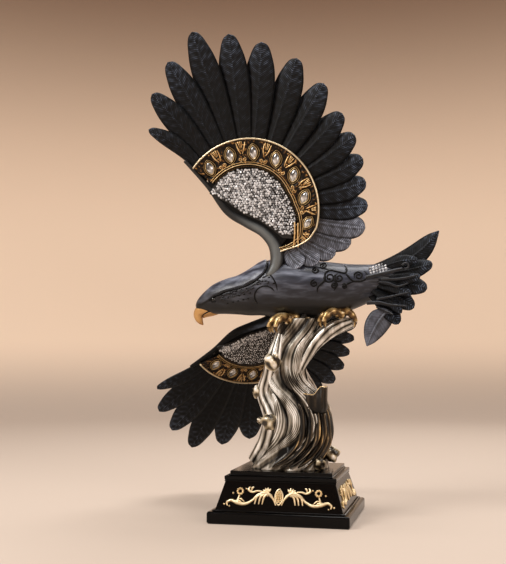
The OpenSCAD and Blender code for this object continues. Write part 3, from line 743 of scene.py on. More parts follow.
class EAGLE_OT_jewel_bands(bpy.types.Operator):
    """Builds the bronze band, its two rims and the filigree between the stones"""
    bl_idname = "eagle.jewel_bands"
    bl_label = "Jewel bands"

    def execute(self, context):
        for wing, place in WINGS.items():
            self.band(wing, place)
            form = new_form()
            edge_bead(form, BAND_OUT, RIM_W / 2, 0.95, 1.9, 4.3)
            finish_piece(f"{wing}_polished_rim", form, FINISHES["rim"], (f"{wing}_outer_rim",), place)
            self.inner_rim(wing, place)
            self.filigree(wing, place)
        return {"FINISHED"}

    def band(self, wing, place):
        steps, across = 300, 18
        form = new_form()

        def point(j, i):
            degrees = BAND_ENDS[0] + (BAND_ENDS[1] - BAND_ENDS[0]) * i / steps
            inner, outer = lookup(degrees, BAND_IN), lookup(degrees, BAND_OUT) + RIM_W / 2
            if j <= across:
                radius = inner + (outer - inner) * j / across
                height, tone = band_relief(radius, degrees, inner, outer)
                return fan_point(radius, degrees, BAND_FACE + height), tone
            return fan_point(outer if j == across + 1 else inner, degrees, PANEL_FACE - 0.3), 0.2

        skin(form, across + 3, steps, point)
        finish_piece(f"{wing}_bronze_band", form, FINISHES["band"], (f"{wing}_band",), place)

    def inner_rim(self, wing, place):
        form = new_form()
        edge_bead(form, BAND_IN, RIM_W / 2, 0.5, 1.4, 4.4, low=-0.1)
        edge_bead(form, BAND_IN, 3.0, 0.35, 0.6, 4.9, low=-0.25)
        degrees = BAND_ENDS[0] + 22
        while degrees < BAND_ENDS[1] - 3:
            bead(form, fan_point(lookup(degrees, BAND_IN) - 1.1, degrees, 4.2), 0.62, tone=0.15)
            degrees += 2.4
        finish_piece(f"{wing}_beaded_rim", form, FINISHES["gold"], (f"{wing}_inner_rim",), place)

    def filigree(self, wing, place):
        form = new_form()
        for k in range(STONE_COUNT):
            a = stone_angle(k + 0.5)
            inner, outer = lookup(a, BAND_IN) + RIM_W, lookup(a, BAND_OUT)
            mid = (inner + outer) / 2
            for side in (-1, 1):
                centre = fan_point(inner + 4, a + 2.4 * side, BAND_FACE + 0.4)
                spiral(form, centre, 2.2, a + 90 + 90 * side, side * 1.1, 0.5)
                frond = [(*fan_point(mid - 2, a + 0.8 * side, BAND_FACE + 0.3), 0.4),
                         (*fan_point(mid + 3, a + 2.8 * side, BAND_FACE + 0.6), 0.9),
                         (*fan_point(outer - 2, a + (3 + k % 2) * side, BAND_FACE + 0.3), 0.4)]
                rod(form, frond, 6, 10, (0, 0, 1))
            for ray in range(-1, 2):
                rod(form, [(*fan_point(mid + 3 + 0.8 * random.random(), a + 0.8 * ray, BAND_FACE + 0.2), 0.3),
                           (*fan_point(outer - 1.4, a + 1.5 * ray + random.random(), BAND_FACE + 0.4), 0.6)],
                    6, 4, (0, 0, 1))
            bead(form, fan_point(mid + 1, a, BAND_FACE + 0.4), 1.0, 0.8)
            bead(form, fan_point(outer - 1.8, a + 5.5, BAND_FACE + 0.3), 0.8)
        for shift in (0, 3.4):
            rod(form, [(*fan_point(47.5 + shift, -16, BAND_FACE + 0.5), 0.8),
                       (*fan_point(52 + shift, -29, BAND_FACE + 0.7), 0.9),
                       (*fan_point(58 + shift, -41 + shift, BAND_FACE + 0.5), 0.8)], 8, 20, (0, 0, 1))
        finish_piece(f"{wing}_gold_filigree", form, FINISHES["band"], (f"{wing}_filigree",), place)


class EAGLE_OT_large_stones(bpy.types.Operator):
    """Builds the seven faceted navette stones of each wing and their bezels"""
    bl_idname = "eagle.large_stones"
    bl_label = "Large stones"

    def execute(self, context):
        for wing, place in WINGS.items():
            bezels, stones = new_form(), new_form()
            for i in range(STONE_COUNT):
                spot = stone_place(i)
                for radius, grow, lift, tone in ((0.32, 0.9, 0.8, 0.35), (0.34, 4.2, 0.0, 0.1)):
                    oval = pointed_oval(STONE_L + grow, STONE_W + grow, 32)
                    line = [spot @ (p + Vector((0, 0, lift))) for p in oval]
                    loop_rod(bezels, line, radius, 6, 1.6, tone)
                self.stone(stones, spot)
            finish_piece(f"{wing}_bezel_rings", bezels, FINISHES["rim"], (f"{wing}_bezels",), place)
            finish_piece(f"{wing}_navette_stones", stones, FINISHES["stones"], (f"{wing}_stones",),
                         place, smooth=False)
        return {"FINISHED"}

    def stone(self, form, spot):
        """Brilliant-like stone: a girdle, two crown rings turned half a step, and a table."""
        count = 12
        rings = [(0.15, -1.3, 0), (0.97, 0.2, 0), (1.0, 0.5, 0), (0.8, 1.4, 0.5), (0.52, 2.1, 0)]

        def place(j, i):
            size, height, turn = rings[i]
            a = 2 * math.pi * (j + turn) / count
            bulge = math.copysign(abs(math.sin(a)) ** 1.5, math.sin(a))
            point = Vector((STONE_W / 2 * bulge * size, -STONE_L / 2 * math.cos(a) * size, height))
            # Painted light: each facet gets its own brightness as painted glints, and the half with y below 0
            # is lit brighter as a painted highlight.
            painted_glint = 0.15 + 0.5 * ((j * 5 + i * 3) % 7) / 6
            return spot @ point, painted_glint + 0.35 * (point.y < 0)

        skin(form, count, len(rings) - 1, place)


class EAGLE_OT_pave(bpy.types.Operator):
    """Builds the field of small round stones inside each band"""
    bl_idname = "eagle.pave"
    bl_label = "Small stones"

    def execute(self, context):
        pitch = context.scene.eagle_looks.pave_pitch * 1000
        for wing, place in WINGS.items():
            form = new_form()
            rows = int(1.3 * BED_R / pitch)
            for i in range(-rows, rows + 1):
                for j in range(-rows, rows + 1):
                    spot = FAN + Vector((pitch * (i + 0.5 * (j % 2)), pitch * 0.866 * j, 0))
                    spot += Vector((random.uniform(-0.22, 0.22), random.uniform(-0.22, 0.22), 0)) * pitch
                    if self.fits(spot):
                        self.stone(form, spot, pitch * random.uniform(0.4, 0.56))
            finish_piece(f"{wing}_small_stones", form, FINISHES["pave"], (f"{wing}_pave_stones",),
                         place, smooth=False)
            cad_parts[f"{wing}_pave_bed"].data.materials.clear()
            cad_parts[f"{wing}_pave_bed"].data.materials.append(FINISHES["bed"])
        return {"FINISHED"}

    def fits(self, spot):
        offset = spot - FAN
        degrees = math.degrees(math.atan2(offset.y, offset.x))
        degrees += 360 if degrees < -90 else 0
        inside = offset.length < min(BED_R, lookup(degrees, BAND_IN) - 3)
        return inside and spot.y > lookup(spot.x, FIELD_EDGE) + 2

    def stone(self, form, spot, radius):
        sides = 7
        turn = random.uniform(0, 6)
        lean = Vector((random.uniform(-0.35, 0.35), random.uniform(-0.35, 0.35), 0))
        # Painted glints: each small stone gets a random brightness, dimmed to 0.4 on its lowest ring.
        painted_glint = random.choice((0.3, 0.55, 0.75, 0.9, 1.0, 1.0))
        rings = [(1.0, -0.1, 0), (1.0, 0.35, 0), (0.55, 1.05, 0.5)]

        def place(j, i):
            size, height, step = rings[i]
            a = turn + 2 * math.pi * (j + step) / sides
            offset = Vector((radius * size * math.cos(a), radius * size * math.sin(a), BED_FACE + height))
            point = spot + offset
            point.z += lean.dot(point - spot)
            return point, painted_glint * (0.4 if i == 0 else 1)

        skin(form, sides, 2, place)


# ---------------------------------------------------------------- body, head and feet

def body_section(x):
    return glide(x, BODY_ROWS)


def on_body(x, z, side, lift=0.0):
    """Point on the body's flank at x and z; side is -1 for the front and 1 for the back."""
    centre, tall, wide = body_section(x)
    height = max(-0.98, min(0.98, (z - centre) / tall))
    outward = Vector((0, side * math.sqrt(1 - height * height) / wide, height / tall)).normalized()
    return Vector((x, side * wide * math.sqrt(1 - height * height), centre + tall * height)) + outward * lift


def hood_gap(x, z):
    """Distance from the hood's edge in side view, positive inside the hood."""
    best = None
    for (ax, az), (bx, bz) in zip(HOOD, HOOD[1:]):
        dx, dz = bx - ax, bz - az
        t = min(1, max(0, ((x - ax) * dx + (z - az) * dz) / (dx * dx + dz * dz)))
        ox, oz = x - ax - t * dx, z - az - t * dz
        gap = math.hypot(ox, oz)
        if best is None or gap < abs(best):
            best = math.copysign(gap, dx * oz - dz * ox)
    return best


def laid_line(form, points, side, radius=1.0, lift=0.0, sides=6):
    """Inlaid line over the body through points given as x and z."""
    line = [(*on_body(x, z, side, lift), radius) for x, z in points]
    line[0] = (*line[0][:3], radius * 0.3)
    line[-1] = (*line[-1][:3], radius * 0.3)
    rod(form, line, sides, 6 * len(line), (0, 1, 0.01))


def laid_spiral(form, x, z, size, start, turns, side, radius=0.9):
    points = []
    for k in range(10):
        a = math.radians(start) + 2 * math.pi * turns * k / 9
        r = size * (1 - 0.72 * k / 9)
        points.append((x + r * math.cos(a), z + r * math.sin(a)))
    laid_line(form, points, side, radius)
    bead(form, on_body(*points[-1], side, 0.1), radius * 1.25)


class EAGLE_OT_body(bpy.types.Operator):
    """Builds the body and head with the hood, the cheek marks and the inlaid scrolls"""
    bl_idname = "eagle.body"
    bl_label = "Body and head"

    def execute(self, context):
        form = new_form()
        around, length = 150, 230
        first, last = BODY_ROWS[0][0], BODY_ROWS[-1][0]

        def place(j, i):
            x = first + (last - first) * i / length
            centre, tall, wide = body_section(x)
            a = 2 * math.pi * j / around
            point = Vector((x, wide * math.cos(a), centre + tall * math.sin(a)))
            outward = Vector((0, math.cos(a) / wide, math.sin(a) / tall)).normalized()
            rise, tone = self.relief(x, point.z)
            return point + outward * (rise * min(1, tall / 6)), tone

        skin(form, around, length, place)
        finish_piece("body_shell", form, FINISHES["body"], ("body", "head"))
        self.inlay()
        return {"FINISHED"}

    def relief(self, x, z):
        if x > -12:
            stripes = ease((x - 74) / 20) * (0.5 + 0.5 * math.sin(z * 2.2))
            return 0.4 * stripes, 0.55 - 0.3 * stripes
        gap = hood_gap(x, z)
        step = ease(gap / 1.4)
        crest = 1.2 * ease((x + 44) / 20) * ease((z - 236) / 10) * ease(gap / 2.5)
        seam = math.exp(-(gap / 0.9) ** 2)
        return 0.9 * step + crest - 0.35 * seam, 0.55 + 0.1 * step - 0.5 * seam

    def inlay(self):
        form = new_form()
        for side in (-1, 1):
            laid_line(form, HOOD[2:], side, 0.7, 0.5)
            collar = [(-19.7, 229.6), (-14.9, 229), (-10.3, 224.5), (-7, 218.5), (-5.8, 212.6)]
            laid_line(form, collar, side, 0.75)
            ring_x, ring_z = SHOULDER_RING
            ring = [(ring_x + 10.6 * math.cos(math.radians(a)), ring_z + 10 * math.sin(math.radians(a)))
                    for a in range(28, 236, 16)]
            laid_line(form, ring, side, 0.75)
            self.flecks(form, side)
            for x, z, size, start, turns in (
                    (30, 231.4, 3.8, 60, 1.3), (29, 218.9, 3.6, 80, 1.2), (36.6, 236.2, 3.4, 200, -1.2),
                    (43, 224.4, 5.4, 130, 1.4), (51.6, 224, 4.4, 100, 1.3), (69.4, 226, 4.4, 210, -1.4),
                    (47.4, 216.4, 2.8, 20, 1.2), (56.6, 216, 2.6, 140, -1.2)):
                laid_spiral(form, x, z, size, start, turns, side)
            for stem in (
                    [(32, 210.3), (32.6, 215.6), (38.4, 221.6), (38.9, 228.4), (43.6, 231.2), (50.7, 229.9),
                     (57.2, 228.7), (57.8, 233.6), (55.2, 236.4)],
                    [(31, 235), (36, 233.6), (43.6, 231.5)],
                    [(57.2, 228.7), (59.2, 226.4), (64, 221.5), (71, 220.9), (76.7, 223.3), (77.5, 227),
                     (74, 231)],
                    [(47, 212), (50, 217), (48, 222), (47.4, 227.5)],
                    [(56, 214), (60, 218.6), (66, 220.6)]):
                laid_line(form, stem, side)
        finish_piece("body_scroll_inlay", form, FINISHES["ink"])
        light = new_form()
        for side in (-1, 1):
            for k in range(70):
                x = random.uniform(-66, -12)
                z = 211 + 0.32 * (x + 66) + random.uniform(-9, 0)
                near = math.hypot(x - SHOULDER_RING[0], z - SHOULDER_RING[1])
                if near > 12 and hood_gap(x, z) < -1.5:
                    slope = random.uniform(0.3, 0.8)
                    streak = [(x, z), (x + 1.6, z + slope), (x + 3.2, z + 2 * slope)]
                    laid_line(light, streak, side, 0.5, 0.55)
        finish_piece("cheek_highlights", light, FINISHES["scapular"])

    def flecks(self, form, side):
        spots = [(-64 + 5.2 * k, 209.4 + 1.1 * k) for k in range(6)]
        spots += [(-62 + 5.4 * k, 205.6 + 1.0 * k) for k in range(6)]
        spots += [(-58 + 5.4 * k, 201.4 + 1.0 * k) for k in range(5)]
        spots += [(-27, 218.6), (-22, 221.5), (-20.5, 225.6), (-16, 220.6), (-14.5, 225), (-11, 219)]
        for x, z in spots:
            x += random.uniform(-0.8, 0.8)
            laid_line(form, [(x, z), (x + 1.4, z + 0.3), (x + 2.6, z + 0.4)], side, 0.75)


class EAGLE_OT_face(bpy.types.Operator):
    """Builds the hooked beak and the eyes"""
    bl_idname = "eagle.face"
    bl_label = "Beak and eyes"

    def execute(self, context):
        # Painted shade: the beak's flanks are lighter than its ridge and underside, and the hooked tip is
        # darkened, as shading under the beak.
        def horn(degrees, t):
            crown = math.sin(math.radians(degrees))
            tone = 0.55 + 0.35 * abs(crown) - 0.3 * ease((t - 0.75) * 4)
            return 1 + 0.06 * math.cos(math.radians(2 * degrees)), tone

        upper = new_form()
        hook = [(-70, 0, 197.4, 4), (-78, 0, 197, 6), (-85.6, 0, 196.2, 6.2), (-89.6, 0, 193, 5.4),
                (-90.2, 0, 188.8, 4.1), (-88.4, 0, 184.8, 2.7), (-85.6, 0, 181.6, 0.5)]
        rod(upper, hook, 24, 60, flat=0.95, shape=horn)
        finish_piece("hooked_beak", upper, FINISHES["beak"], ("upper_beak",))
        lower = new_form()
        jaw = [(-69, 0, 194, 1.6), (-76, 0, 193, 2.6), (-82, 0, 191.2, 2), (-85.6, 0, 188.6, 0.6)]
        rod(lower, jaw, 20, 40, flat=0.8, shape=horn)
        finish_piece("lower_mandible", lower, FINISHES["beak"], ("lower_beak",))
        dark = new_form()
        for side in (-1, 1):
            gape = [(-72, side * 4.6, 195, 0.3), (-78, side * 5.4, 194.4, 0.55),
                    (-84, side * 4.2, 191.6, 0.5), (-86.6, side * 2.4, 188.4, 0.2)]
            nostril = [(-82.5, side * 5.3, 198.2, 0.3), (-84, side * 5.3, 197.6, 0.6),
                       (-85.4, side * 4.9, 196.8, 0.3)]
            rod(dark, gape, 8, 20)
            rod(dark, nostril, 8, 10)
            centre = on_body(*EYE, side, 0)
            ring = [centre + Vector((2.9 * math.cos(a), side * 0.2, 2.5 * math.sin(a)))
                    for a in [2 * math.pi * k / 20 for k in range(20)]]
            rod(dark, [(*p, 0.55) for p in ring + ring[:1]], 6, 60, (0, 1, 0.001))
        finish_piece("gape_and_eye_lines", dark, FINISHES["ink"])
        eyes = new_form()
        for side in (-1, 1):
            bead(eyes, on_body(*EYE, side, -1.2), 2.5, sides=20, rings=14, tone=0.1)
        finish_piece("eye_domes", eyes, FINISHES["eye"], ("eyes",))
        return {"FINISHED"}


def foot(form, ankle, turn):
    """Wrinkled foot with three front toes, one back toe and hooked claws."""
    place = Matrix.Translation(ankle) @ Matrix.Rotation(math.radians(turn), 4, "Z")

    def wrinkled(degrees, t):
        wave = math.sin(t * 30) * (t < 0.72)
        tone = 0.42 + 0.16 * wave + 0.3 * math.sin(math.radians(degrees)) + 0.3 * ease(t * 3 - 2)
        return 1 + 0.03 * wave, tone

    for degrees, reach in ((-158, 16), (-186, 18), (-214, 15), (-10, 13)):
        spin = place @ Matrix.Rotation(math.radians(degrees), 4, "Z")
        line = [(0, 0, 2.5, 4), (reach * 0.3, 0, 4.4, 4), (reach * 0.65, 0, 3.2, 3.8),
                (reach * 0.92, 0, -0.4, 3.2), (reach * 1.08, 0, -4.6, 2.2), (reach * 1.06, 0, -8.4, 1.2),
                (reach * 0.96, 0, -10.6, 0.3)]
        rod(form, [(*(spin @ Vector(p[:3])), p[3]) for p in line], 14, 44, (0, 0, 1), shape=wrinkled)
    lump(form, place @ Vector((0, 0, 2.5)), (6, 5.4, 5), 0.03, 4)


class EAGLE_OT_feet(bpy.types.Operator):
    """Builds the two gold feet that grip the stump"""
    bl_idname = "eagle.feet"
    bl_label = "Feet"

    def execute(self, context):
        for name, ankle, turn in (("left", (2, -11, 184), 35), ("right", (51, -8, 189), 15)):
            form = new_form()
            foot(form, ankle, turn)
            finish_piece(f"{name}_clawed_foot", form, FINISHES["claw"], (f"{name}_foot",))
        return {"FINISHED"}


# ---------------------------------------------------------------- tail

def tail_blade(form, start, end, width, roll, bend, outline=PLUME, groove=0.26, bias=0.0):
    """Tail feather from start to end, tilted by roll degrees about its length and bowed by bend."""
    start, end = Vector(start), Vector(end)
    heading = (end - start).normalized()
    up = heading.cross(Vector((0, 1, 0))).normalized()
    side = up.cross(heading)
    tilt = math.radians(roll)
    wide = up * math.cos(tilt) + side * math.sin(tilt)
    facing = heading.cross(wide)
    if facing.y > 0:
        facing = -facing

    def core(t):
        return start + (end - start) * t + up * (bend * math.sin(math.pi * min(1, t))), wide, facing

    blade(form, core, width / 2, (end - start).length, outline, pitch=2.4, thick=1.1, shaft=1.1,
          groove=groove, bias=bias)


TAIL = {
    "top": [((84, 3, 233), (143, 8, 269), 22, 12, -8)],
    "high": [((84, -1, 228), (137, -2, 237), 19, 16, -2), ((84, -4, 230), (124, -6, 241), 13, 10, 3)],
    "mid": [((83, -4, 222), (132, -7, 214), 21, 20, 1), ((84, -7, 224), (126, -9, 225), 13, 14, -2)],
    "low": [((81, -6, 216), (120, -11, 196), 20, 24, 2), ((82, -9, 219), (118, -13, 208), 13, 20, 2)],
    "end": [((79, -6, 212), (106, -14, 181), 18, 28, 2), ((80, -10, 214), (109, -16, 191), 11, 22, 2)],
}


class EAGLE_OT_tail(bpy.types.Operator):
    """Builds the tail fan, the drooping leaf and the beaded patch"""
    bl_idname = "eagle.tail"
    bl_label = "Tail"

    def execute(self, context):
        for name, blades in TAIL.items():
            form = new_form()
            for start, end, width, roll, bend in blades:
                tail_blade(form, start, end, width, roll, bend, SICKLE if name == "top" else PLUME)
            finish_piece(f"tail_plume_{name}", form, FINISHES["feather"],
                         (f"tail_feather_{name}",))
        leaf = new_form()
        tail_blade(leaf, (96, -13, 194), (77, -19, 160.5), 22, 8, -2, LEAF, groove=0.06, bias=0.36)
        finish_piece("drooping_leaf", leaf, FINISHES["scapular"], ("tail_leaf",))
        shafts = new_form()
        for line in (
                [(76, -17, 224, 2.0), (91, -14, 227.6, 1.9), (104, -11, 231, 1.7), (110, -11, 232.4, 1.2)],
                [(90, -14, 222, 1.3), (102, -12, 222.4, 1.4), (112, -11, 223.4, 1.2), (124, -10, 226.4, 0.5)],
                [(88, -14, 220, 1.0), (97, -14, 218.6, 1.1), (105.5, -13, 215.6, 1.1),
                 (115, -12, 218.6, 0.6)],
                [(86, -15, 203.6, 1.4), (98, -15, 206, 1.1), (115, -14, 209.8, 0.6)],
                [(77, -16, 200.4, 1.8), (88, -16, 200.6, 1.7), (98, -16, 198.4, 1.3), (114, -15, 197.4, 0.7)],
                [(86, -17, 196.6, 1.0), (101, -17, 189.6, 0.8)]):
            rod(shafts, line, 8, 24, (0, 1, 0.01))
        ring = [(112.6 + 2.8 * math.cos(a), -11.5, 234.8 + 2.6 * math.sin(a), 0.9)
                for a in [math.radians(240 + 32 * k) for k in range(10)]]
        rod(shafts, ring, 8, 40, (0, 1, 0.01))
        finish_piece("raised_quills", shafts, FINISHES["scapular"])
        beads = new_form()
        for i in range(6):
            for j in range(4):
                spot = on_body(79.5 + 2.7 * i + 0.6 * j, 233 + 1.0 * i - 2.4 * j, -1, 0.3)
                # Painted glints: each bead gets a random brightness.
                bead(beads, spot, 1.3, tone=random.uniform(0.2, 1), sides=10, rings=7)
        finish_piece("tail_root_beads", beads, FINISHES["pave"], ("tail_beads",))
        return {"FINISHED"}


# ---------------------------------------------------------------- stump

def trunk_point(height, degrees, lift=0.0):
    cx, cy, wide, deep = glide(height, TRUNK)
    a = math.radians(degrees)
    return Vector((cx + (wide + lift) * math.cos(a), cy + (deep + lift) * math.sin(a), PLINTH_TOP + height))


def flute(degrees, height, count=9):
    """Ridge height, from 0 in a groove to 1, of the winding flutes."""
    turned = degrees - glide(height, FLUTE_TURN)[0]
    warped = turned + 9 * math.sin(math.radians(2 * turned + 40))
    warped += 5 * math.sin(math.radians(4 * turned + height))
    return abs(math.sin(math.radians(warped * count / 2))) ** 0.7


def ribbon(form, line, width, thick, strands=3, glow=1.0):
    """Flat root that lies on the trunk along line, its heights and angles, with strands in its face."""
    steps, rows, arm = 22, 90, 27

    def place(j, i):
        t = i / rows
        height, degrees = along(line, t)
        ahead, behind = along(line, min(1, t + 0.02)), along(line, max(0, t - 0.02))
        run = Vector((arm * math.radians(ahead[1] - behind[1]), ahead[0] - behind[0])).normalized()
        front = j <= steps
        u = -1 + 2 * j / steps if front else 1 - 2 * (j - steps) / steps
        taper = (0.02 + math.sin(math.pi * (0.02 + 0.96 * t))) ** 0.5
        groove = 0.5 - 0.5 * math.cos(math.pi * (strands * (u + 1) + 1.2 * math.sin(7 * t + width)))
        lift = thick * taper * (1 - u * u) ** 0.5 * (0.72 + 0.28 * groove) if front else -2.5
        offset = 0.5 * width * taper * u
        spot = trunk_point(min(TRUNK_H, max(0, height + run.x * offset)),
                           degrees - math.degrees(run.y * offset / arm), lift)
        worn = 0.45 * noise.noise(0.07 * spot)
        return spot, glow * (0.05 + (0.3 + 0.58 * groove + worn) * (1 - u ** 4))

    skin(form, 2 * steps, rows, place)


def stranded(count=5, twist=60.0, depth=0.16):
    """Shape for a rod that looks like a twisted bundle of roots."""
    def shape(degrees, t):
        ridge = abs(math.sin(math.radians((degrees + twist * t) * count / 2))) ** 0.7
        return 1 - depth * (1 - ridge), 0.05 + 0.9 * ridge
    return shape


class EAGLE_OT_stump(bpy.types.Operator):
    """Builds the fluted stump with its winding roots, arm and strands"""
    bl_idname = "eagle.stump"
    bl_label = "Stump"

    def execute(self, context):
        form = new_form()
        around, length = 180, 150

        def place(j, i):
            height = TRUNK_H * i / length
            degrees = 360 * j / around
            ridge = flute(degrees, height)
            fine = 0.5 + 0.5 * math.sin(math.radians(31 * (degrees - glide(height, FLUTE_TURN)[0])))
            spot = trunk_point(height, degrees, 3.0 * (ridge - 0.6) + 0.3 * fine)
            return spot, 0.02 + 0.5 * ridge + 0.18 * fine + 0.4 * noise.noise(0.06 * spot)

        skin(form, around, length, place)
        finish_piece("fluted_trunk", form, FINISHES["stump"], ("stump",))
        self.roots()
        for name, line in STRANDS.items():
            form = new_form()
            raised = [(x, y, z + PLINTH_TOP, r) for x, y, z, r in line]
            rod(form, raised, 60, 110, shape=stranded(7, 100, 0.12))
            finish_piece(f"{name}_wood", form, FINISHES["stump"], (name,))
        form = new_form()
        stem = [(10, -10, 174, 2.4), (16, -10, 188, 2.4), (20, -8, 197, 2.1), (26, -7, 204, 1.8)]
        curl_x, curl_z, curl_r = 32.5, 201, 4.5
        for wound in range(0, 331, 30):
            a = math.radians(100 - wound)
            stem.append((curl_x + curl_r * math.cos(a), -7, curl_z + curl_r * math.sin(a), 1.5 - wound / 380))
        rod(form, stem, 12, 90)
        finish_piece("curled_tendril", form, FINISHES["stump"], ("stump_curl",))
        return {"FINISHED"}

    def roots(self):
        """Flat roots draped over the trunk, and the dark flutes that run down from the broken branch."""
        form = new_form()
        for k in range(11):
            base = 360 * k / 11 + random.uniform(-8, 8)
            low, high = ((2, 128), (10, 96), (30, 138), (1, 70))[k % 4]
            sway = random.uniform(0.9, 1.25)
            line = []
            for step in range(9):
                height = low + (high - low) * step / 8
                turned = sway * glide(height, FLUTE_TURN)[0]
                line.append((height, base + turned + 6 * math.sin(0.7 * step + k)))
            ribbon(form, line, random.uniform(9, 15), random.uniform(2.8, 4.6), 4 + k % 3)
        finish_piece("draped_roots", form, FINISHES["stump"])
        apron = new_form()
        for k in range(6):
            base = 284 + 13 * k
            line = [(66 - 2 * abs(k - 2.5), base), (52, base + 4), (38, base + 3), (24, base - 4),
                    (12, base - 16), (3, base - 32)]
            ribbon(apron, line, 5.8, 7 - 0.5 * abs(k - 2), 2, 0.8)
        finish_piece("branch_apron", apron, FINISHES["stub"])


class EAGLE_OT_knobs(bpy.types.Operator):
    """Builds the knobs and the broken side branch of the stump"""
    bl_idname = "eagle.knobs"
    bl_label = "Knobs and broken branch"

    def execute(self, context):
        form = new_form()
        knobs = [(-12, -19, 100, 7.6, 0.06), (-27, -11, 71, 6, 0.18), (-14, -22, 43, 7.8, 0.06),
                 (42, -6, 13, 6.5, 0.16), (33, -22, 6, 5, 0.08), (-24, -20, 45, 2.8, 0.2)]
        for x, y, z, r, ring in knobs:
            lump(form, (x, y, z + PLINTH_TOP), (r, r, r * 1.08), ring=ring, waves=3, tone=0.1 + 0.004 * z)
        finish_piece("branch_knobs", form, FINISHES["knot"], ("stump_knots",))
        self.broken_branch()
        return {"FINISHED"}

    def broken_branch(self):
        centre = STUB
        profile = [(STUB_R - 1, 98), (STUB_R, 104), (STUB_R - 0.4, 110), (STUB_R, 115), (STUB_R - 0.8, 116.2),
                   (STUB_R - 2, 115.2), (STUB_R - 2.6, 110), (0.005, 109)]
        form = new_form()
        around = 60

        def place(j, i):
            radius, z = profile[i]
            degrees = 360 * j / around
            lip = ease((math.cos(math.radians(degrees)) - 0.1) * 1.6)
            if i in (3, 4, 5):
                z += 7 * lip + 0.35 * math.sin(math.radians(degrees * 5))
            bark = abs(math.sin(math.radians(degrees * 6)))
            radius += (0.7 * bark - 0.5) if i < 4 else 0
            tone = (0.05, 0.05 + 0.4 * bark, 0.1 + 0.4 * bark, 0.45, 1.1, 0.5, 0.0, 0.0)[i]
            a = math.radians(degrees)
            return centre + Vector((radius * math.cos(a), radius * math.sin(a), z)), tone

        skin(form, around, len(profile) - 1, place)
        finish_piece("broken_branch", form, FINISHES["stub"], ("stump_stub",))


# ---------------------------------------------------------------- plinth

def tidy_copy(node):
    """Merged copy of a CAD node, in millimetres."""
    form = new_form()
    form.from_mesh(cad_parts[node].data)
    bmesh.ops.remove_doubles(form, verts=form.verts, dist=0.000005)
    bmesh.ops.dissolve_limit(form, angle_limit=math.radians(1), verts=form.verts, edges=form.edges)
    bmesh.ops.scale(form, vec=(1 / MM, 1 / MM, 1 / MM), verts=form.verts)
    return form


def frame_bead(form, half_w, half_d, z, radius, sides=12):
    """Moulding with mitred corners round the plinth."""
    corners = [(-1, -1), (1, -1), (1, 1), (-1, 1), (-1, -1)]

    def place(j, i):
        turn = 2 * math.pi * j / sides
        out = radius * math.cos(turn)
        sx, sy = corners[i]
        return Vector((sx * (half_w + out), sy * (half_d + out), z + radius * math.sin(turn))), 0.5

    skin(form, sides, 4, place, caps=False)


class EAGLE_OT_plinth(bpy.types.Operator):
    """Builds the lacquered plinth with rounded edges and mouldings"""
    bl_idname = "eagle.plinth"
    bl_label = "Plinth"

    def execute(self, context):
        for node in ("plinth_slab", "plinth_body", "plinth_cornice", "plinth_cap"):
            piece = finish_piece(f"{node}_lacquered", tidy_copy(node), FINISHES["lacquer"],
                                 (node,))
            bevel = piece.modifiers.new("rounded_edges", "BEVEL")
            bevel.width = 0.0006
            bevel.segments = 3
            bevel.limit_method = "ANGLE"
            bevel.angle_limit = math.radians(30)
            bevel.harden_normals = True
            piece.data.set_sharp_from_angle(angle=math.radians(35))
        form = new_form()
        for inset, z, radius in ((5.0, SLAB_TOP + 0.4, 0.9), (14.3, SLOPE_TOP - 0.2, 0.9), (17.6, 42.2, 0.8),
                                 (18.2, 45.4, 0.6)):
            frame_bead(form, PLINTH_W / 2 - inset, PLINTH_D / 2 - inset, z, radius)
        finish_piece("plinth_mouldings", form, FINISHES["lacquer"], sharp=40)
        return {"FINISHED"}


def ornament_half(form, s):
    """Right half of the scrollwork in the plane of one side; s is its length against the front's."""
    face = 0.2

    def tendril(points, thick):
        line = [(x * s, y, face, thick * r) for x, y, r in points]
        rod(form, line, 8, 8 * len(line), (0, 0, 1), flat=1.1)

    tendril([(2.6, -7.4, 0.4), (5.6, -1, 0.9), (12, 3.6, 1.1), (19.4, 1.6, 0.9), (24.6, -3.6, 0.9),
             (31, -6.8, 1.3), (38, -6.2, 1.4), (44, -4, 1.1), (47.8, -6, 0.9), (47.2, -9, 0.5)], 1.25)
    for top, far, foot_x in ((9, 13.4, 15.2), (11, 16.6, 18.4), (13, 20, 22)):
        tendril([(top - 3, 0.6, 0.4), (top, 2.6, 0.9), (far, 0.2, 1), (foot_x, -6.8, 0.5)], 1.1)
    tendril([(11, 3.6, 0.6), (19.4, 5.2, 0.8), (24.6, 4, 0.9), (28.4, 6, 1.1), (27, 8.8, 0.5)], 1.1)
    tendril([(25.6, 5, 0.4), (25, 7.6, 1), (23.4, 8.6, 0.4)], 1)
    for dx, dy in ((-2.6, 4.2), (0, 5.2), (2.6, 4.6), (4.6, 3)):
        tendril([(10.4, 3.4, 0.6), (10.4 + 0.6 * dx, 3.4 + 0.6 * dy, 1.2), (10.4 + dx, 3.4 + dy, 0.4)], 1)
    tendril([(38.4, -6, 1.2), (37.4, -1.6, 0.8), (36.4, 1.6, 0.6)], 1.2)
    tendril([(34, -6.6, 0.6), (36, -4.4, 0.9), (40.6, -4.6, 0.9), (43, -5.4, 0.5)], 1)
    tendril([(31.6, -5, 0.4), (34.6, -2.6, 0.9), (36.6, -2.4, 0.6)], 0.9)
    for k in range(9):
        a = math.radians(40 * k)
        bead(form, ((36 + 2.5 * math.cos(a)) * s, 4.4 + 2.5 * math.sin(a), face + 0.3), 1.15)
    for x, y, radius in ((42.6, 2.6, 1), (50.4, -7.6, 1), (45.4, -9.2, 0.8), (30.6, 6.8, 0.8), (7, 1.6, 0.9)):
        bead(form, (x * s, y, face + 0.1), radius)


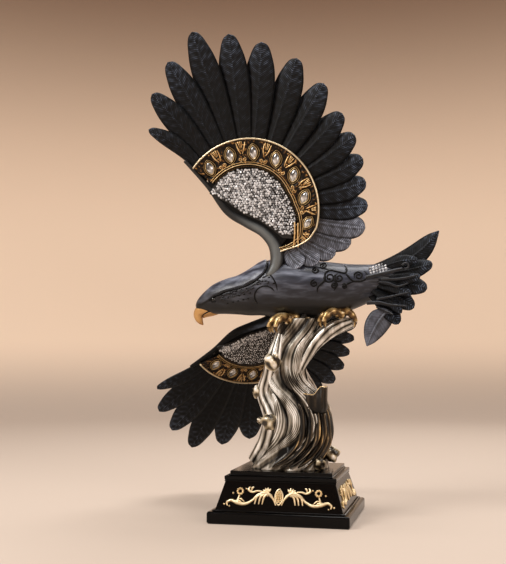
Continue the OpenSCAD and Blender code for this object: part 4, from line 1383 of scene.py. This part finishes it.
class EAGLE_OT_ornaments(bpy.types.Operator):
    """Builds the gold scrollwork on the four sides of the plinth"""
    bl_idname = "eagle.ornaments"
    bl_label = "Plinth ornaments"

    def execute(self, context):
        slope = math.atan2(SLOPE_IN[1] - SLOPE_IN[0], SLOPE_TOP - SLAB_TOP)
        for k, name in enumerate(("front", "right", "back", "left")):
            depth = PLINTH_D if k % 2 == 0 else PLINTH_W
            form = new_form()
            ornament_half(form, 1 if k % 2 == 0 else 0.88)
            bmesh.ops.mirror(form, geom=form.verts[:] + form.edges[:] + form.faces[:], axis="X", merge_dist=0)
            loop_rod(form, [v + Vector((0, 0.2, 0.3)) for v in pointed_oval(14.4, 7, 28)], 0.7)
            for row in range(7):
                for column in (-1, 0, 1):
                    wide = column * (1.9 - 0.12 * (row - 3) ** 2)
                    bead(form, (wide, 1.5 * (row - 3) + 0.2, 0.3), 0.95 - 0.06 * abs(row - 3))
            place = (Matrix.Rotation(math.radians(90 * k), 4, "Z")
                     @ Matrix.Translation((0, -depth / 2 + sum(SLOPE_IN) / 2, (SLAB_TOP + SLOPE_TOP) / 2))
                     @ Matrix.Rotation(math.radians(90) - slope, 4, "X"))
            finish_piece(f"{name}_gold_scrollwork", form, FINISHES["gold"], (f"{name}_scroll",),
                         place)
        return {"FINISHED"}


class EAGLE_OT_hidden_parts(bpy.types.Operator):
    """Gives the felt, the fastenings and the wing plates their finishes"""
    bl_idname = "eagle.hidden_parts"
    bl_label = "Felt and fastenings"

    def execute(self, context):
        finishes = {
            "felt": ("base_felt",),
            "steel": ("base_stud", "base_washer", "base_nut", "perch_rod", "raised_wing_pin",
                      "lowered_wing_pin"),
            "feather": ("raised_panel", "lowered_panel"),
        }
        for finish, nodes in finishes.items():
            for node in nodes:
                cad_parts[node].data.materials.clear()
                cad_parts[node].data.materials.append(FINISHES[finish])
        return {"FINISHED"}


# ---------------------------------------------------------------- stage

class EAGLE_OT_stage(bpy.types.Operator):
    """Builds the pale floor and wall, the soft lights and the camera"""
    bl_idname = "eagle.stage"
    bl_label = "Stage"

    def execute(self, context):
        looks = context.scene.eagle_looks
        self.floor(looks)
        for name, at, aim, size, power, colour in (
                ("key", (-0.85, -0.75, 1.15), (0, 0, 0.22), 0.6, looks.key_power, (1, 0.98, 0.95)),
                ("top", (0.1, 0.0, 1.3), (0, 0, 0.2), 0.6, 0.6 * looks.key_power, (1, 0.98, 0.96)),
                ("fill", (0.95, -0.8, 0.6), (0, 0, 0.2), 0.5, 0.22 * looks.key_power, (1, 0.97, 0.94)),
                ("rear", (0.3, 0.95, 0.95), (0, 0, 0.25), 0.5, 0.35 * looks.key_power, (1, 0.98, 0.95))):
            light = bpy.data.lights.new(f"{name}_light", "AREA")
            light.size = size
            light.energy = power
            light.color = colour
            holder = bpy.data.objects.new(f"{name}_light", light)
            holder.location = at
            holder.rotation_euler = (Vector(aim) - Vector(at)).to_track_quat("-Z", "Y").to_euler()
            context.scene.collection.objects.link(holder)
        world = bpy.data.worlds.new("studio")
        world.use_nodes = True
        world.node_tree.nodes["Background"].inputs["Color"].default_value = (*looks.backdrop, 1)
        world.node_tree.nodes["Background"].inputs["Strength"].default_value = 0.25
        context.scene.world = world
        camera = bpy.data.cameras.new("camera")
        camera.lens = 60.6
        camera.sensor_width = 36
        camera.clip_start = 0.01
        holder = bpy.data.objects.new("camera", camera)
        holder.location = (0.1727, -0.8991, 0.1559)
        holder.rotation_euler = (math.pi / 2 + 0.0726, 0, 0.2274)
        context.scene.collection.objects.link(holder)
        context.scene.camera = holder
        context.scene.view_settings.view_transform = "Standard"
        return {"FINISHED"}

    def floor(self, looks):
        """Floor and wall in one, like a bowl round the statuette."""
        form = bmesh.new()
        profile = [(0.02, 0), (FLOOR_R, 0)]
        for k in range(1, 16):
            a = math.radians(6 * k)
            profile.append((FLOOR_R + CURVE_R * math.sin(a), CURVE_R - CURVE_R * math.cos(a)))
        profile.append((FLOOR_R + CURVE_R, WALL_TOP))
        points = [form.verts.new((r, 0, z)) for r, z in profile]
        edges = [form.edges.new(pair) for pair in zip(points, points[1:])]
        bmesh.ops.spin(form, geom=points + edges, cent=(0, 0, 0), axis=(0, 0, 1), angle=2 * math.pi, steps=96,
                       use_merge=True)
        rims = [e for e in form.edges if e.is_boundary and e.verts[0].co.z < 0.01]
        bmesh.ops.holes_fill(form, edges=rims, sides=0)
        for face in form.faces:
            face.normal_update()
            face.smooth = True
            centre = face.calc_center_median()
            inward = Vector((-centre.x, -centre.y, 0.6))
            if face.normal.dot(inward) < 0:
                face.normal_flip()
        mesh = bpy.data.meshes.new("floor")
        form.to_mesh(mesh)
        form.free()
        mesh.materials.append(self.paper(looks))
        floor = bpy.data.objects.new("floor", mesh)
        bpy.context.scene.collection.objects.link(floor)

    def paper(self, looks):
        """Pale paper with a painted glow of its own, darkened towards the top of the wall as painted shade.
        """
        material, nodes, links, surface = start_material("backdrop_paper", 0.0, 0.8, gleam=0.1)
        coordinates = nodes.new("ShaderNodeTexCoord")
        split = nodes.new("ShaderNodeSeparateXYZ")
        links.new(coordinates.outputs["Object"], split.inputs[0])
        level = nodes.new("ShaderNodeMapRange")
        level.interpolation_type = "SMOOTHSTEP"
        level.inputs["From Min"].default_value = 0.45
        level.inputs["From Max"].default_value = 1.5
        links.new(split.outputs["Z"], level.inputs["Value"])
        low = nodes.new("ShaderNodeMapRange")
        low.interpolation_type = "SMOOTHSTEP"
        low.inputs["From Max"].default_value = 0.2
        links.new(split.outputs["Z"], low.inputs["Value"])
        # Painted shade: the wall darkens towards its top, standing for the light falling off.
        wall = self.blend(nodes, links, level, (*looks.backdrop, 1), shade(118, 92, 74))
        ground = self.blend(nodes, links, low, shade(174, 160, 148), None)
        links.new(wall, ground.node.inputs["B"])
        links.new(ground, surface.inputs["Base Color"])
        links.new(ground, surface.inputs["Emission Color"])
        surface.inputs["Emission Strength"].default_value = 0.36
        return material

    def blend(self, nodes, links, factor, first, second):
        mix = nodes.new("ShaderNodeMix")
        mix.data_type = "RGBA"
        links.new(factor.outputs["Result"], mix.inputs["Factor"])
        mix.inputs["A"].default_value = first
        if second:
            mix.inputs["B"].default_value = second
        return mix.outputs["Result"]


# ---------------------------------------------------------------- add-on

class EagleLooks(bpy.types.PropertyGroup):
    """Colours and sizes that a user may change."""
    gold: FloatVectorProperty(name="Gold", description="Main colour of the antique gold", subtype="COLOR",
                              default=shade(214, 180, 122)[:3], min=0, max=1)
    silver: FloatVectorProperty(name="Silver", description="Main colour of the stump", subtype="COLOR",
                                default=shade(142, 136, 124)[:3], min=0, max=1)
    patina: FloatVectorProperty(name="Patina", description="Middle colour of the black feathers",
                                subtype="COLOR", default=shade(33, 38, 47)[:3], min=0, max=1)
    backdrop: FloatVectorProperty(name="Backdrop", description="Colour of the wall and of the light round it",
                                  subtype="COLOR", default=shade(228, 206, 184)[:3], min=0, max=1)
    pave_pitch: FloatProperty(name="Stone pitch", description="Spacing of the small stones",
                              subtype="DISTANCE", unit="LENGTH", default=0.0025, min=0.0018, max=0.004)
    key_power: FloatProperty(name="Key power", description="Power of the main light in watts",
                             unit="POWER", default=18, min=1, max=100)


class EAGLE_PT_panel(bpy.types.Panel):
    """Lists the steps that build the statuette"""
    bl_idname = "EAGLE_PT_panel"
    bl_label = "Eagle statuette"
    bl_space_type = "VIEW_3D"
    bl_region_type = "UI"
    bl_category = "Eagle"

    def draw(self, context):
        for item in ("gold", "silver", "patina", "backdrop", "pave_pitch", "key_power"):
            self.layout.prop(context.scene.eagle_looks, item)
        for step in STEPS:
            self.layout.operator(step.bl_idname)


STEPS = (
    EAGLE_OT_stage, EAGLE_OT_wing_feathers, EAGLE_OT_back_coverts, EAGLE_OT_leading_edges,
    EAGLE_OT_jewel_bands, EAGLE_OT_large_stones, EAGLE_OT_pave, EAGLE_OT_body, EAGLE_OT_face, EAGLE_OT_feet,
    EAGLE_OT_tail, EAGLE_OT_stump, EAGLE_OT_knobs, EAGLE_OT_plinth, EAGLE_OT_ornaments,
    EAGLE_OT_hidden_parts,
)
CLASSES = (EagleLooks, *STEPS, EAGLE_PT_panel)


def register():
    for item in CLASSES:
        bpy.utils.register_class(item)
    bpy.types.Scene.eagle_looks = PointerProperty(type=EagleLooks)


def unregister():
    del bpy.types.Scene.eagle_looks
    for item in reversed(CLASSES):
        bpy.utils.unregister_class(item)


def main():
    register()
    FINISHES.update(make_finishes(bpy.context.scene.eagle_looks))
    for step in STEPS:
        group, name = step.bl_idname.split(".")
        getattr(getattr(bpy.ops, group), name)()


if __name__ == "__main__":
    main()
